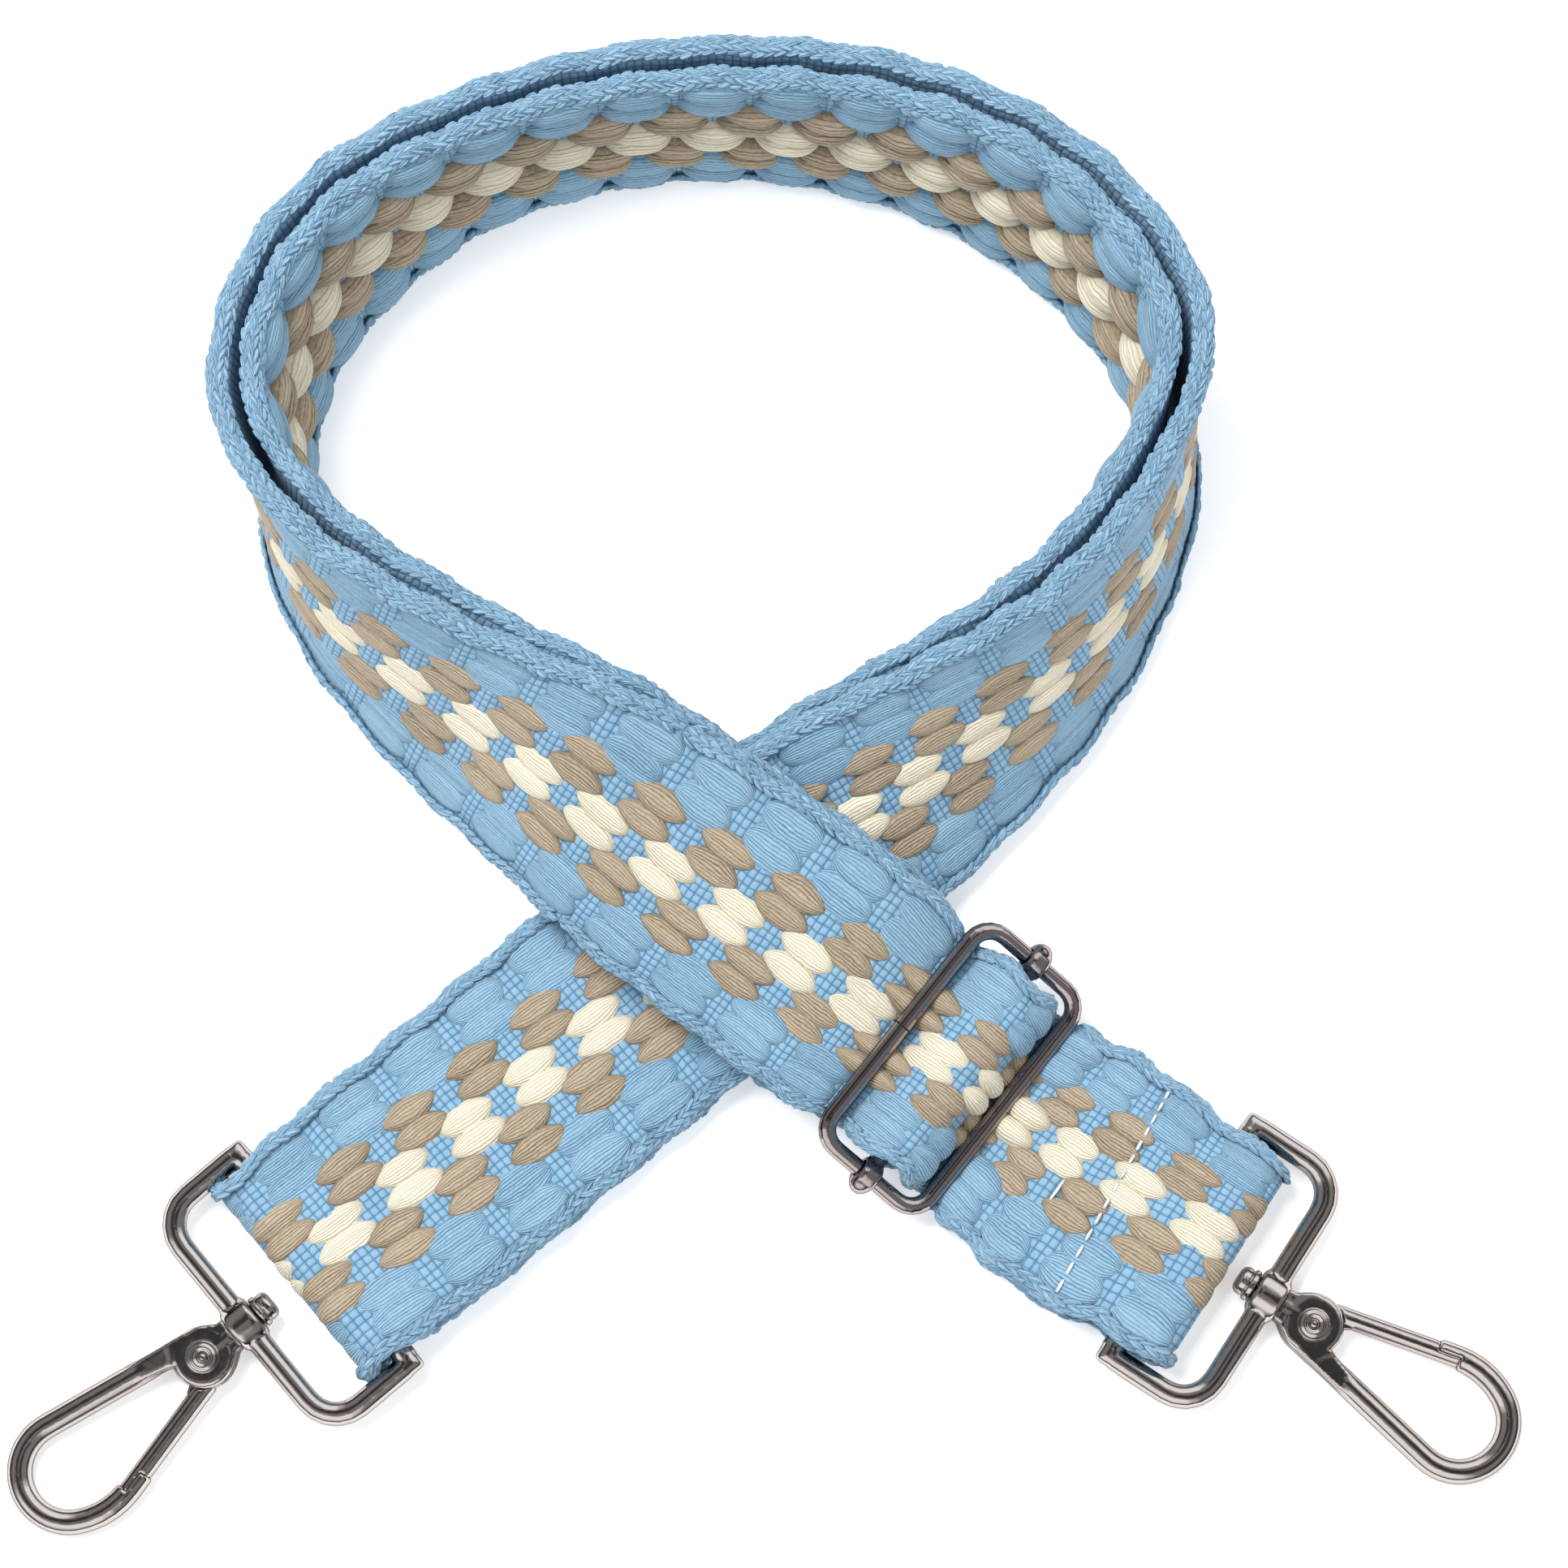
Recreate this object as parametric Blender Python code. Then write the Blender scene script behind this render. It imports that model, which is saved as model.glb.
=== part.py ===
"""Detachable woven bag strap: one length of webbing, a slider and two swivel hooks, laid in a crossed loop.

Lengths are metres, angles degrees, Z is up and the strap lies on the plane Z = 0. The webbing is laid out
first, along a route that starts at the left hook, crosses under itself, stands on its edge round the loop,
crosses over itself and ends at the right hook. The hardware is placed from that route.
"""

import math

import bmesh
import bpy
import numpy as np
from mathutils import Matrix, Vector

# Webbing
WEB_WIDTH = 0.0395
WEB_THICK = 0.0032
EDGE_ROUND = 0.0008
LAYER_GAP = 0.0005
LOOP_GAP = 0.0018
CLEAR = 0.0003
LOOP_LENGTH = 0.403
LEFT_LEG = 0.0828
RIGHT_LEG = 0.0842
HOOK_FLAP = 0.024
FOLD_RUN = 0.028
FOLD_TAPER = 0.010
STATION_STEP = 0.0065
COLUMNS = 3
FOLD_STEPS = 8

# Heading and tilt along the left leg, the loop and the right leg, at shares of each length. A tilt of 0 is
# webbing lying flat and 90 is webbing standing on its edge.
LEFT_LEG_SHARES = ((-1.0, 40, 0), (-0.39, 40, 0))
LOOP_SHARES = (
    (0.00, 40, 13),
    (0.06, 35, 35),
    (0.12, 39, 55),
    (0.18, 55, 70),
    (0.24, 74, 82),
    (0.30, 118, 98),
    (0.36, 143, 100),
    (0.42, 162, 98),
    (0.50, 182, 95),
    (0.58, 201, 95),
    (0.66, 229, 101),
    (0.72, 264, 99),
    (0.78, 301, 82),
    (0.84, 320, 65),
    (0.90, 324, 48),
    (0.95, 323, 30),
    (1.00, 325, 18),
)
RIGHT_LEG_SHARES = ((0.19, 324, 10), (0.30, 322.5, 4), (0.38, 321.5, 0), (0.55, 321.5, 0), (1.0, 327, 0))

# Where the right leg climbs over the left one, in shares of the webbing's width from the crossing
CROSSING_SPARE = 0.0016
CLIMB_START_SHARE = 1.45
CLIMB_TOP_SHARE = 0.66
DROP_START_SHARE = 0.2
DROP_END_SHARE = 1.25

# The take-up stretch starts before the crossing by a share of the webbing's width, and ends where the webbing
# runs up to the slider.
TAKE_UP_START_SHARE = -1.0
SLIDER_RUN = 0.007675

# Slider: a wire frame, and a loose bar whose eyes run on the frame's short sides. Each of its two slots
# presses the webbing to a share of the slot's opening.
SLIDER_FROM_CROSSING = 0.0404
SLIDER_HEIGHT = 0.0102
SLIDER_TILT = 21
SLIDER_LENGTH = 0.043
SLIDER_DEPTH = 0.022
SLIDER_WIRE = 0.0028
SLIDER_CORNER = 0.0036
BAR_WIRE = 0.0028
SLOT_LAYERS = 3
SLOT_SPARE = 0.0002
PRESSED_THICK = ((SLIDER_DEPTH - 2 * SLIDER_WIRE - BAR_WIRE) / 2 - SLOT_SPARE) / SLOT_LAYERS
EYE_OUTER = 0.0052
EYE_LENGTH = 0.0036
TAIL_END_SHARE = 0.4
SEAM_PLACE_SHARE = 0.8
PRESSED_RUN = 0.012

# Rings
RING_WIDTH = 0.0454
RING_DEPTH = 0.0193
RING_WIRE = 0.0036
RING_CORNER = 0.0057
BOSS_LENGTH = 0.0046
BOSS_WIDTH = 0.0072
BOSS_HEIGHT = 0.0062

# Swivel rivets
SWIVEL_SHANK = 0.0030
SWIVEL_HEAD = 0.0052
SWIVEL_HEAD_LENGTH = 0.0029
SWIVEL_GRIP = 0.0013
POCKET_SPARE = 0.0003

# Hooks
NECK_WIDTH = 0.0050
PLATE_FROM_RING = 0.0079
PLATE_WIDTH = 0.0094
PLATE_THICK = 0.0048
PLATE_EDGE = 0.0005
BOW_FROM_RING = 0.0346
BOW_RADIUS = 0.00775
NOSE_START = 60
SPINE_OFFSET = 0.0030
BOW_WIRE = 0.0033
BOW_HEIGHT = 0.0036

# Gates
GATE_HEADING = 13.5
GATE_OFFSET = 0.0028
GATE_WIRE = 0.0029
GATE_HEIGHT = 0.0034
LIP_START = 0.0198
GATE_TIP = 0.0230
STEP_GAP = 0.00035
SLOT_HEIGHT = 0.0028
SLOT_SWEEP = (-8, 82)
TONGUE_EYE = 0.0060
TONGUE_THICK = 0.0013
TONGUE_SPARE = 0.0002
LUG_START = 0.0036
WEB_START = 0.0022

# Gate rivets
PIN_SHANK = 0.0023
PIN_HEAD = 0.0038
PIN_HEAD_THICK = 0.00035
PIN_PROUD = 0.0001
PIN_RECESS = 0.00045
PIN_DIMPLE = 0.0008
PIN_DIMPLE_DEPTH = 0.00015

# Gate springs
SPRING_WIRE = 0.0006
SPRING_COIL = 0.0037
SPRING_FLOOR = 0.00025
SPRING_LEG = 0.0044
SPRING_FOOT = 0.0028

# Seams
THREAD = 0.0007
STITCH = 0.0030
STITCH_WAIST_SHARE = 0.5
HOOK_SEAM = 0.020
SEAM_MARGIN = 0.0018

# Facets
WIRE_SIDES = 12
THIN_SIDES = 6
ROUND_SIDES = 20
CORNER_STEPS = 5
OVERRUN = 0.004

MATERIALS = {
    "webbing": ((0.20, 0.42, 0.68, 1), 0.9, 0.0),
    "thread": ((0.86, 0.86, 0.82, 1), 0.8, 0.0),
    "nickel": ((0.42, 0.39, 0.37, 1), 0.2, 1.0),
    "gunmetal": ((0.20, 0.18, 0.18, 1), 0.25, 1.0),
    "spring_steel": ((0.55, 0.55, 0.55, 1), 0.35, 1.0),
}


# Small tools


def smoothstep(share):
    """Ease from 0 to 1, held flat outside."""
    share = min(max(share, 0.0), 1.0)
    return share * share * (3 - 2 * share)


def turn(point, degrees):
    """A plan point turned about the origin."""
    angle = math.radians(degrees)
    x, y = point
    return (x * math.cos(angle) - y * math.sin(angle), x * math.sin(angle) + y * math.cos(angle))


def arc(centre, radius, start, end, steps):
    """Plan points round a centre, from one angle to another."""
    angles = [math.radians(start + (end - start) * i / steps) for i in range(steps + 1)]
    return [(centre[0] + radius * math.cos(a), centre[1] + radius * math.sin(a)) for a in angles]


def finish(bm):
    """A mesh from a bmesh, its faces turned outwards and its round parts shaded smooth."""
    bmesh.ops.recalc_face_normals(bm, faces=bm.faces[:])
    mesh = bpy.data.meshes.new("piece")
    bm.to_mesh(mesh)
    bm.free()
    mesh.shade_smooth()
    mesh.set_sharp_from_angle(angle=math.radians(35))
    return mesh


def skin(rings, closed=False):
    """A solid through rings of as many points each, capped at both ends unless it closes on itself."""
    bm = bmesh.new()
    loops = [[bm.verts.new(point) for point in ring] for ring in rings]
    count = len(loops[0])
    pairs = list(zip(loops, loops[1:]))
    if closed:
        pairs.append((loops[-1], loops[0]))
    for first, second in pairs:
        for i in range(count):
            j = (i + 1) % count
            bm.faces.new((first[i], first[j], second[j], second[i]))
    if not closed:
        bm.faces.new(loops[0])
        bm.faces.new(loops[-1])
    return finish(bm)


def wire(path, width, height, sides, closed=False, level=0.0):
    """A round or oval bar along a path in plan, mitred where the path turns."""
    points = [Vector((x, y, level)) for x, y in path]
    rings = []
    for i, point in enumerate(points):
        before = points[i - 1] if closed or i else point
        after = points[(i + 1) % len(points)] if closed or i + 1 < len(points) else point
        into = (point - before).normalized() if i or closed else (after - point).normalized()
        out = (after - point).normalized() if closed or i + 1 < len(points) else into
        along = (into + out).normalized()
        side = Vector((-along.y, along.x, 0)) / max(along.dot(out), 0.5)
        rings.append([
            point
            + side * (width / 2 * math.cos(math.tau * (k + 0.5) / sides))
            + Vector((0, 0, height / 2 * math.sin(math.tau * (k + 0.5) / sides)))
            for k in range(sides)
        ])
    return skin(rings, closed)


def turned(profile, sides=ROUND_SIDES, squash=1.0):
    """A solid turned about X from (place, radius) pairs, with its height squashed if asked."""
    rings = [
        [
            Vector((x, radius * math.cos(math.tau * k / sides), squash * radius * math.sin(math.tau * k / sides)))
            for k in range(sides)
        ]
        for x, radius in profile
    ]
    return skin(rings)


def upright(mesh):
    """A turned solid stood up, its axis from X to Z."""
    mesh.transform(Matrix.Rotation(math.radians(-90), 4, "Y"))
    return mesh


def moved(mesh, x=0.0, y=0.0, z=0.0):
    """The mesh shifted in place."""
    mesh.transform(Matrix.Translation((x, y, z)))
    return mesh


def slab(outline, low, high):
    """A flat plate between two heights."""
    return skin([[Vector((x, y, z)) for x, y in outline] for z in (low, high)])


def combine(mesh, other, operation):
    """The first mesh joined with the other, or cut by it."""
    body = bpy.data.objects.new("body", mesh)
    tool = bpy.data.objects.new("tool", other)
    for obj in (body, tool):
        bpy.context.scene.collection.objects.link(obj)
    modifier = body.modifiers.new("Combine", "BOOLEAN")
    modifier.operation = operation
    modifier.solver = "EXACT"
    modifier.object = tool
    bpy.context.view_layer.update()
    result = bpy.data.meshes.new_from_object(body.evaluated_get(bpy.context.evaluated_depsgraph_get()))
    bpy.data.objects.remove(body)
    bpy.data.objects.remove(tool)
    result.shade_smooth()
    result.set_sharp_from_angle(angle=math.radians(35))
    return result


def join(*meshes):
    """One solid from several that overlap."""
    result = meshes[0]
    for mesh in meshes[1:]:
        result = combine(result, mesh, "UNION")
    return result


def cut(mesh, *cutters):
    """The mesh with each cutter taken out of it."""
    for cutter in cutters:
        mesh = combine(mesh, cutter, "DIFFERENCE")
    return mesh


def material(name):
    """The named material, made once."""
    found = bpy.data.materials.get(name)
    if found:
        return found
    color, roughness, metallic = MATERIALS[name]
    made = bpy.data.materials.new(name)
    made.use_nodes = True
    shader = made.node_tree.nodes["Principled BSDF"]
    shader.inputs["Base Color"].default_value = color
    shader.inputs["Roughness"].default_value = roughness
    shader.inputs["Metallic"].default_value = metallic
    made.diffuse_color = color
    return made


def empty(name, parent, matrix):
    """A frame that carries the pieces of one moving body, its matrix in the strap's own frame."""
    made = bpy.data.objects.new(name, None)
    bpy.context.scene.collection.objects.link(made)
    made.empty_display_size = WEB_WIDTH / 4
    made.parent = parent
    made.matrix_world = matrix
    bpy.context.view_layer.update()
    return made


def piece(name, mesh, finish_name, parent, in_place=False):
    """One named piece on its carrier. A mesh laid out in the strap's own frame stays in place."""
    made = bpy.data.objects.new(name, mesh)
    made.data.materials.clear()
    made.data.materials.append(material(finish_name))
    bpy.context.scene.collection.objects.link(made)
    made.parent = parent
    if in_place:
        made.matrix_parent_inverse = parent.matrix_world.inverted()
    return made


# The route of the webbing


def route_knots():
    """Distance from the crossing, heading and tilt at each knot, the loop between 0 and its length."""
    left = [(share * LEFT_LEG, heading, tilt) for share, heading, tilt in LEFT_LEG_SHARES]
    loop = [(share * LOOP_LENGTH, heading, tilt) for share, heading, tilt in LOOP_SHARES]
    right = [(LOOP_LENGTH + share * RIGHT_LEG, heading, tilt) for share, heading, tilt in RIGHT_LEG_SHARES]
    return np.array(left + loop + right)


def through_knots(places, values, wanted):
    """A smooth curve through the knots that never overshoots them."""
    rise = np.diff(values) / np.diff(places)
    slope = np.zeros(len(places))
    for i in range(1, len(places) - 1):
        if rise[i - 1] * rise[i] > 0:
            after = places[i + 1] - places[i]
            before = places[i] - places[i - 1]
            weights = (2 * after + before, after + 2 * before)
            slope[i] = sum(weights) / (weights[0] / rise[i - 1] + weights[1] / rise[i])
    i = np.clip(np.searchsorted(places, wanted, side="right") - 1, 0, len(places) - 2)
    run = places[i + 1] - places[i]
    t = np.clip((wanted - places[i]) / run, 0, 1)
    return (
        (2 * t**3 - 3 * t**2 + 1) * values[i]
        + (t**3 - 2 * t**2 + t) * run * slope[i]
        + (3 * t**2 - 2 * t**3) * values[i + 1]
        + (t**3 - t**2) * run * slope[i + 1]
    )


def lay_route():
    """Distance, x, y, heading and tilt along the whole route, with the crossing at the origin."""
    knots = route_knots()
    count = 1600
    distance = np.linspace(knots[0, 0], knots[-1, 0], count)
    heading = np.radians(through_knots(knots[:, 0], knots[:, 1], distance))
    tilt = np.radians(through_knots(knots[:, 0], knots[:, 2], distance))
    step = np.diff(distance)
    x = np.concatenate([[0], np.cumsum((np.cos(heading[1:]) + np.cos(heading[:-1])) / 2 * step)])
    y = np.concatenate([[0], np.cumsum((np.sin(heading[1:]) + np.sin(heading[:-1])) / 2 * step)])
    return distance, x - np.interp(0, distance, x), y - np.interp(0, distance, y), heading, tilt


ROUTE = lay_route()
RIGHT_BAR = LOOP_LENGTH + RIGHT_LEG


def past_crossing(distance):
    """How far a place on the route is past the upper crossing, towards the right hook."""
    return distance - LOOP_LENGTH


def lift(distance):
    """Height of the webbing's lower edge: the upper leg rises over the two layers of the lower one."""
    past = past_crossing(distance) / WEB_WIDTH
    if past < 0:
        share = (CLIMB_START_SHARE + past) / (CLIMB_START_SHARE - CLIMB_TOP_SHARE)
    else:
        share = (DROP_END_SHARE - past) / (DROP_END_SHARE - DROP_START_SHARE)
    return (2 * WEB_THICK + LAYER_GAP + CROSSING_SPARE) * smoothstep(share)


def fold_gap():
    """Gap between the layers at a ring: its bar and a clearance on each side."""
    return RING_WIRE + 2 * CLEAR


def near_ring(distance):
    """Share of the fold's opening: 1 at the rings' bars and 0 in the flat."""
    away = min(distance + LEFT_LEG, RIGHT_BAR - distance)
    return smoothstep(1 - away / FOLD_RUN)


def slider_zone():
    """Where the webbing starts its straight run up to the slider, past the crossing."""
    return SLIDER_FROM_CROSSING - SLIDER_DEPTH / 2 - SLIDER_RUN


def near_slider(distance):
    """Share of the slider's grip on the webbing, reached at the slider's zone."""
    return smoothstep((past_crossing(distance) - slider_zone() + PRESSED_RUN) / PRESSED_RUN)


def layer_gap(distance, tilt):
    """Gap between the two layers: small in the flat, wider round the loop, open at rings and slider."""
    gap = LAYER_GAP + (LOOP_GAP - LAYER_GAP) * math.sin(tilt) ** 2
    gap += (fold_gap() - LAYER_GAP) * near_ring(distance)
    if past_crossing(distance) < SLIDER_FROM_CROSSING:
        gap += (PRESSED_THICK + 5 * CLEAR - LAYER_GAP) * near_slider(distance)
    return gap


def thickness(distance):
    """Thickness of a layer: full, but pressed near the slider."""
    if past_crossing(distance) < SLIDER_FROM_CROSSING:
        return WEB_THICK + (PRESSED_THICK - WEB_THICK) * near_slider(distance)
    return WEB_THICK


def half_width(distance):
    """Half the width: full, but drawn in to pass the rings and the slider."""
    ring_room = RING_WIDTH / 2 - RING_WIRE - 1.5 * CLEAR
    slider_room = SLIDER_LENGTH / 2 - SLIDER_WIRE - SLIDER_CORNER / 4
    away = min(distance + LEFT_LEG, RIGHT_BAR - distance)
    ring = smoothstep(1 - (away - FOLD_TAPER / 2) / FOLD_TAPER)
    past = abs(past_crossing(distance) - SLIDER_FROM_CROSSING)
    slider = smoothstep(1 - (past - SLIDER_DEPTH / 2) / FOLD_TAPER)
    full = WEB_WIDTH / 2
    return min(full + (ring_room - full) * ring, full + (slider_room - full) * slider)


def route_frame(distance):
    """Plan point, along, across and outward vectors of the route, and its tilt."""
    x, y, heading, tilt = (float(np.interp(distance, ROUTE[0], column)) for column in ROUTE[1:])
    along = Vector((math.cos(heading), math.sin(heading), 0))
    inward = Vector((-along.y, along.x, 0))
    up = Vector((0, 0, 1))
    across = inward * math.cos(tilt) + up * math.sin(tilt)
    outward = up * math.cos(tilt) - inward * math.sin(tilt)
    return Vector((x, y, 0)), along, across, outward, tilt


def station(point, across, face, thick, half, backward=True):
    """One cross-section of the webbing: its middle, its width and good-face directions and its size.

    Backward is true where the sections that follow run against the route, as in the outer layer.
    """
    size = {"thick": thick, "half": half, "backward": backward}
    return {"point": point, "across": across, "face": face, **size}


def layer_station(distance, side):
    """The section of the outer layer (side 1) or the inner layer (side -1) at a place on the route."""
    point, _, across, outward, tilt = route_frame(distance)
    thick = thickness(distance)
    gap = layer_gap(distance, tilt)
    reach = thick + gap / 2
    full = WEB_WIDTH / 2
    low = min(-full * across.z + reach * outward.z, -full * across.z - reach * outward.z)
    point.z = lift(distance) - low
    middle = point + outward * side * (gap + thick) / 2
    return station(middle, across, outward * side, thick, half_width(distance), side > 0)


def layer(start, end, side):
    """Sections of one layer between two places, either way, at places that both layers share."""
    low, high = sorted((start, end))
    inner = [i * STATION_STEP for i in range(math.ceil(low / STATION_STEP), math.floor(high / STATION_STEP) + 1)]
    inner = [place for place in inner if low + STATION_STEP / 3 < place < high - STATION_STEP / 3]
    places = [low, *inner, high]
    if start > end:
        places.reverse()
    return [layer_station(place, side) for place in places]


def fold(distance, outwards):
    """Sections of the half turn round a ring's bar. Outwards is 1 where the route ends there, or -1."""
    upper = layer_station(distance, 1)
    lower = layer_station(distance, -1)
    axis = (upper["point"] + lower["point"]) / 2
    radius = (upper["point"] - lower["point"]).length / 2
    _, along, across, outward, _ = route_frame(distance)
    sections = []
    for i in range(1, FOLD_STEPS):
        angle = math.pi * i / FOLD_STEPS
        face = outward * math.cos(angle) + along * outwards * math.sin(angle)
        sections.append(station(axis + face * radius, across, face, upper["thick"], upper["half"]))
    return sections


# The webbing through the slider, in the upright plane along the right leg


def slider_points():
    """Middles of the slider's left, loose and right bars, as (past the crossing, height)."""
    across = (SLIDER_DEPTH - SLIDER_WIRE) / 2
    run = (across * math.cos(math.radians(SLIDER_TILT)), across * math.sin(math.radians(SLIDER_TILT)))
    middle = (SLIDER_FROM_CROSSING, SLIDER_HEIGHT)
    left = (middle[0] - run[0], middle[1] + run[1])
    right = (middle[0] + run[0], middle[1] - run[1])
    return left, middle, right


def string(wheels):
    """Points and headings of a string pulled along wheels (x, z, radius).

    A positive radius leaves the wheel on the left of the string, and 0 is a point that it passes through.
    """
    headings = []
    for (x0, z0, r0), (x1, z1, r1) in zip(wheels, wheels[1:]):
        between = math.atan2(z1 - z0, x1 - x0)
        headings.append(between - math.asin((r1 - r0) / math.hypot(x1 - x0, z1 - z0)))
    headings = [headings[0]] + headings + [headings[-1]]
    points = []
    for (x, z, radius), into, out in zip(wheels, headings, headings[1:]):
        bend = (out - into + math.pi) % math.tau - math.pi
        if radius > 0 and bend < -math.pi / 2:
            bend += math.tau
        steps = max(1, math.ceil(abs(bend) / math.radians(24))) if radius else 0
        for i in range(steps + 1):
            heading = into + bend * (i / steps if steps else 0.5)
            points.append((x + radius * math.sin(heading), z - radius * math.cos(heading), heading))
    return points


def leg_stations(points, upside):
    """Sections along a string over the right leg. Upside is 1 where the good face is on the string's right."""
    sections = []
    for past, height, heading in points:
        distance = LOOP_LENGTH + past
        point, along, across, _, tilt = route_frame(distance)
        flat_across = Vector((-along.y, along.x, 0))
        face = (along * math.sin(heading) + Vector((0, 0, -math.cos(heading)))) * upside
        roll = Matrix.Rotation(tilt, 3, along)
        point.z = height
        sections.append(station(point, roll @ flat_across, roll @ face, PRESSED_THICK, half_width(distance)))
    return sections


def mid_point(section, distance):
    """The string point that a section of the right leg passes through."""
    return (past_crossing(distance), section["point"].z, 0)


def through_slider():
    """Sections of the outer layer under the slider's frame and over its loose bar."""
    left, middle, right = slider_points()
    frame_wheel = SLIDER_WIRE / 2 + CLEAR + PRESSED_THICK / 2
    bar_wheel = BAR_WIRE / 2 + 2 * CLEAR + 1.5 * PRESSED_THICK
    hook_side = RIGHT_BAR - HOOK_FLAP
    loop_side = LOOP_LENGTH + slider_zone()
    first = layer_station(hook_side, 1)
    last = layer_station(loop_side, 1)
    wheels = [
        mid_point(first, hook_side),
        (*right, -frame_wheel),
        (*middle, bar_wheel),
        (*left, -frame_wheel),
        mid_point(last, loop_side),
    ]
    return [first, *leg_stations(string(wheels), 1)[1:-1], last]


def slider_wrap():
    """Sections of the inner layer to the loose bar, round it, and back as the sewn tail."""
    left, middle, _ = slider_points()
    pitch = PRESSED_THICK + CLEAR
    bar_wheel = BAR_WIRE / 2 + CLEAR + PRESSED_THICK / 2
    frame_wheel = SLIDER_WIRE / 2 + CLEAR + PRESSED_THICK / 2
    start = LOOP_LENGTH + slider_zone()
    outer = layer_station(start, 1)
    inner = layer_station(start, -1)
    wheels = [
        mid_point(inner, start),
        (*left, frame_wheel + 2 * pitch),
        (*middle, bar_wheel),
        (*left, -frame_wheel - pitch),
        (past_crossing(start), (outer["point"].z + inner["point"].z) / 2, 0),
    ]
    points = string(wheels)
    end = [a + (b - a) * TAIL_END_SHARE for a, b in zip(points[-1], points[-2])]
    sections = leg_stations(points[:-1] + [end], 1)
    eye_room = SLIDER_LENGTH / 2 - SLIDER_WIRE / 2 - EYE_OUTER / 2 - CLEAR
    for section in sections:
        section["half"] = eye_room
    return [inner, *sections[1:]]


# Webbing and seams


def outline_of(section):
    """Corners (across, through) of one webbing section, with rounded edges and points across each face."""
    half_thick = section["thick"] / 2
    half = section["half"]
    flat = half - EDGE_ROUND
    across = [flat * (1 - 2 * i / COLUMNS) for i in range(COLUMNS + 1)]
    corners = [(half, half_thick - EDGE_ROUND), (half, EDGE_ROUND - half_thick)]
    corners += [(u, -half_thick) for u in across]
    corners += [(-half, EDGE_ROUND - half_thick), (-half, half_thick - EDGE_ROUND)]
    corners += [(-u, half_thick) for u in across]
    return corners


def ribbon(sections):
    """A solid through webbing sections.

    Its faces are split along the same diagonal in both layers, so that the gap between them holds where the
    webbing twists.
    """
    corners = [outline_of(section) for section in sections]
    bm = bmesh.new()
    loops = []
    for section, outline in zip(sections, corners):
        point, across, face = section["point"], section["across"], section["face"]
        loops.append([bm.verts.new(point + across * u + face * h) for u, h in outline])
    count = len(corners[0])
    for first, second, section in zip(loops, loops[1:], sections):
        for i in range(count):
            j = (i + 1) % count
            rising = corners[0][j][0] > corners[0][i][0]
            if rising == section["backward"]:
                bm.faces.new((first[i], first[j], second[i]))
                bm.faces.new((first[j], second[j], second[i]))
            else:
                bm.faces.new((first[i], first[j], second[j]))
                bm.faces.new((first[i], second[j], second[i]))
    bm.faces.new(loops[0])
    bm.faces.new(loops[-1])
    return finish(bm)


def shortened(sections, start=0.0, end=0.0):
    """The sections with the first and last ones drawn back along the webbing."""
    sections = [dict(section) for section in sections]
    for index, neighbour, amount in ((0, 1, start), (-1, -2, end)):
        run = sections[neighbour]["point"] - sections[index]["point"]
        sections[index]["point"] = sections[index]["point"] + run.normalized() * amount
    return sections


def seam(section, side):
    """A row of stitches across the webbing, on its good face (side 1) or its back (side -1)."""
    half = section["half"] - SEAM_MARGIN
    count = round(2 * half / STITCH)
    rise = section["face"] * side * (section["thick"] / 2 + CLEAR + THREAD / 2)
    along = section["across"].cross(section["face"])
    rings = []
    for i in range(2 * count + 1):
        place = -half + i * half / count
        radius = THREAD / 2 * (1 if i % 2 else STITCH_WAIST_SHARE)
        middle = section["point"] + section["across"] * place + rise
        rings.append([
            middle
            + along * (radius * math.cos(math.tau * k / THIN_SIDES))
            + section["face"] * (radius * math.sin(math.tau * k / THIN_SIDES))
            for k in range(THIN_SIDES)
        ])
    return skin(rings)


def build_webbing(strap, slider_bar):
    """The webbing, in the stretches that lie still, bend or ride on the slider, and its two seams."""
    zone = LOOP_LENGTH + slider_zone()
    take_up = LOOP_LENGTH + TAKE_UP_START_SHARE * WEB_WIDTH
    flap_end = RIGHT_BAR - HOOK_FLAP
    half_clear = CLEAR / 2

    hook_end = layer(flap_end, RIGHT_BAR, -1) + fold(RIGHT_BAR, 1)[::-1] + layer(RIGHT_BAR, flap_end, 1)
    loop = layer(zone, -LEFT_LEG, 1) + fold(-LEFT_LEG, -1) + layer(-LEFT_LEG, take_up, -1)
    wrap = slider_wrap()
    pieces = (
        ("webbing_hook_end", shortened(hook_end, end=half_clear), strap),
        ("webbing_through_slider", shortened(through_slider(), half_clear, half_clear), strap),
        ("webbing_loop", shortened(loop, half_clear, half_clear), strap),
        ("webbing_take_up", shortened(layer(take_up, zone, -1), half_clear, half_clear), strap),
        ("webbing_slider_end", shortened(wrap, half_clear), slider_bar),
    )
    for name, sections, carrier in pieces:
        piece(name, ribbon(sections), "webbing", carrier, in_place=True)

    hook_seam = layer_station(RIGHT_BAR - HOOK_SEAM, 1)
    piece("hook_end_seam", seam(hook_seam, 1), "thread", strap, in_place=True)
    slider_seam = dict(wrap[1])
    run = wrap[1]["point"] - wrap[0]["point"]
    slider_seam["point"] = wrap[0]["point"] + run * SEAM_PLACE_SHARE
    slider_seam["across"] = wrap[0]["across"].lerp(wrap[1]["across"], SEAM_PLACE_SHARE).normalized()
    slider_seam["face"] = slider_seam["across"].cross(run).normalized()
    piece("slider_end_seam", seam(slider_seam, 1), "thread", slider_bar, in_place=True)


# Slider


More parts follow.
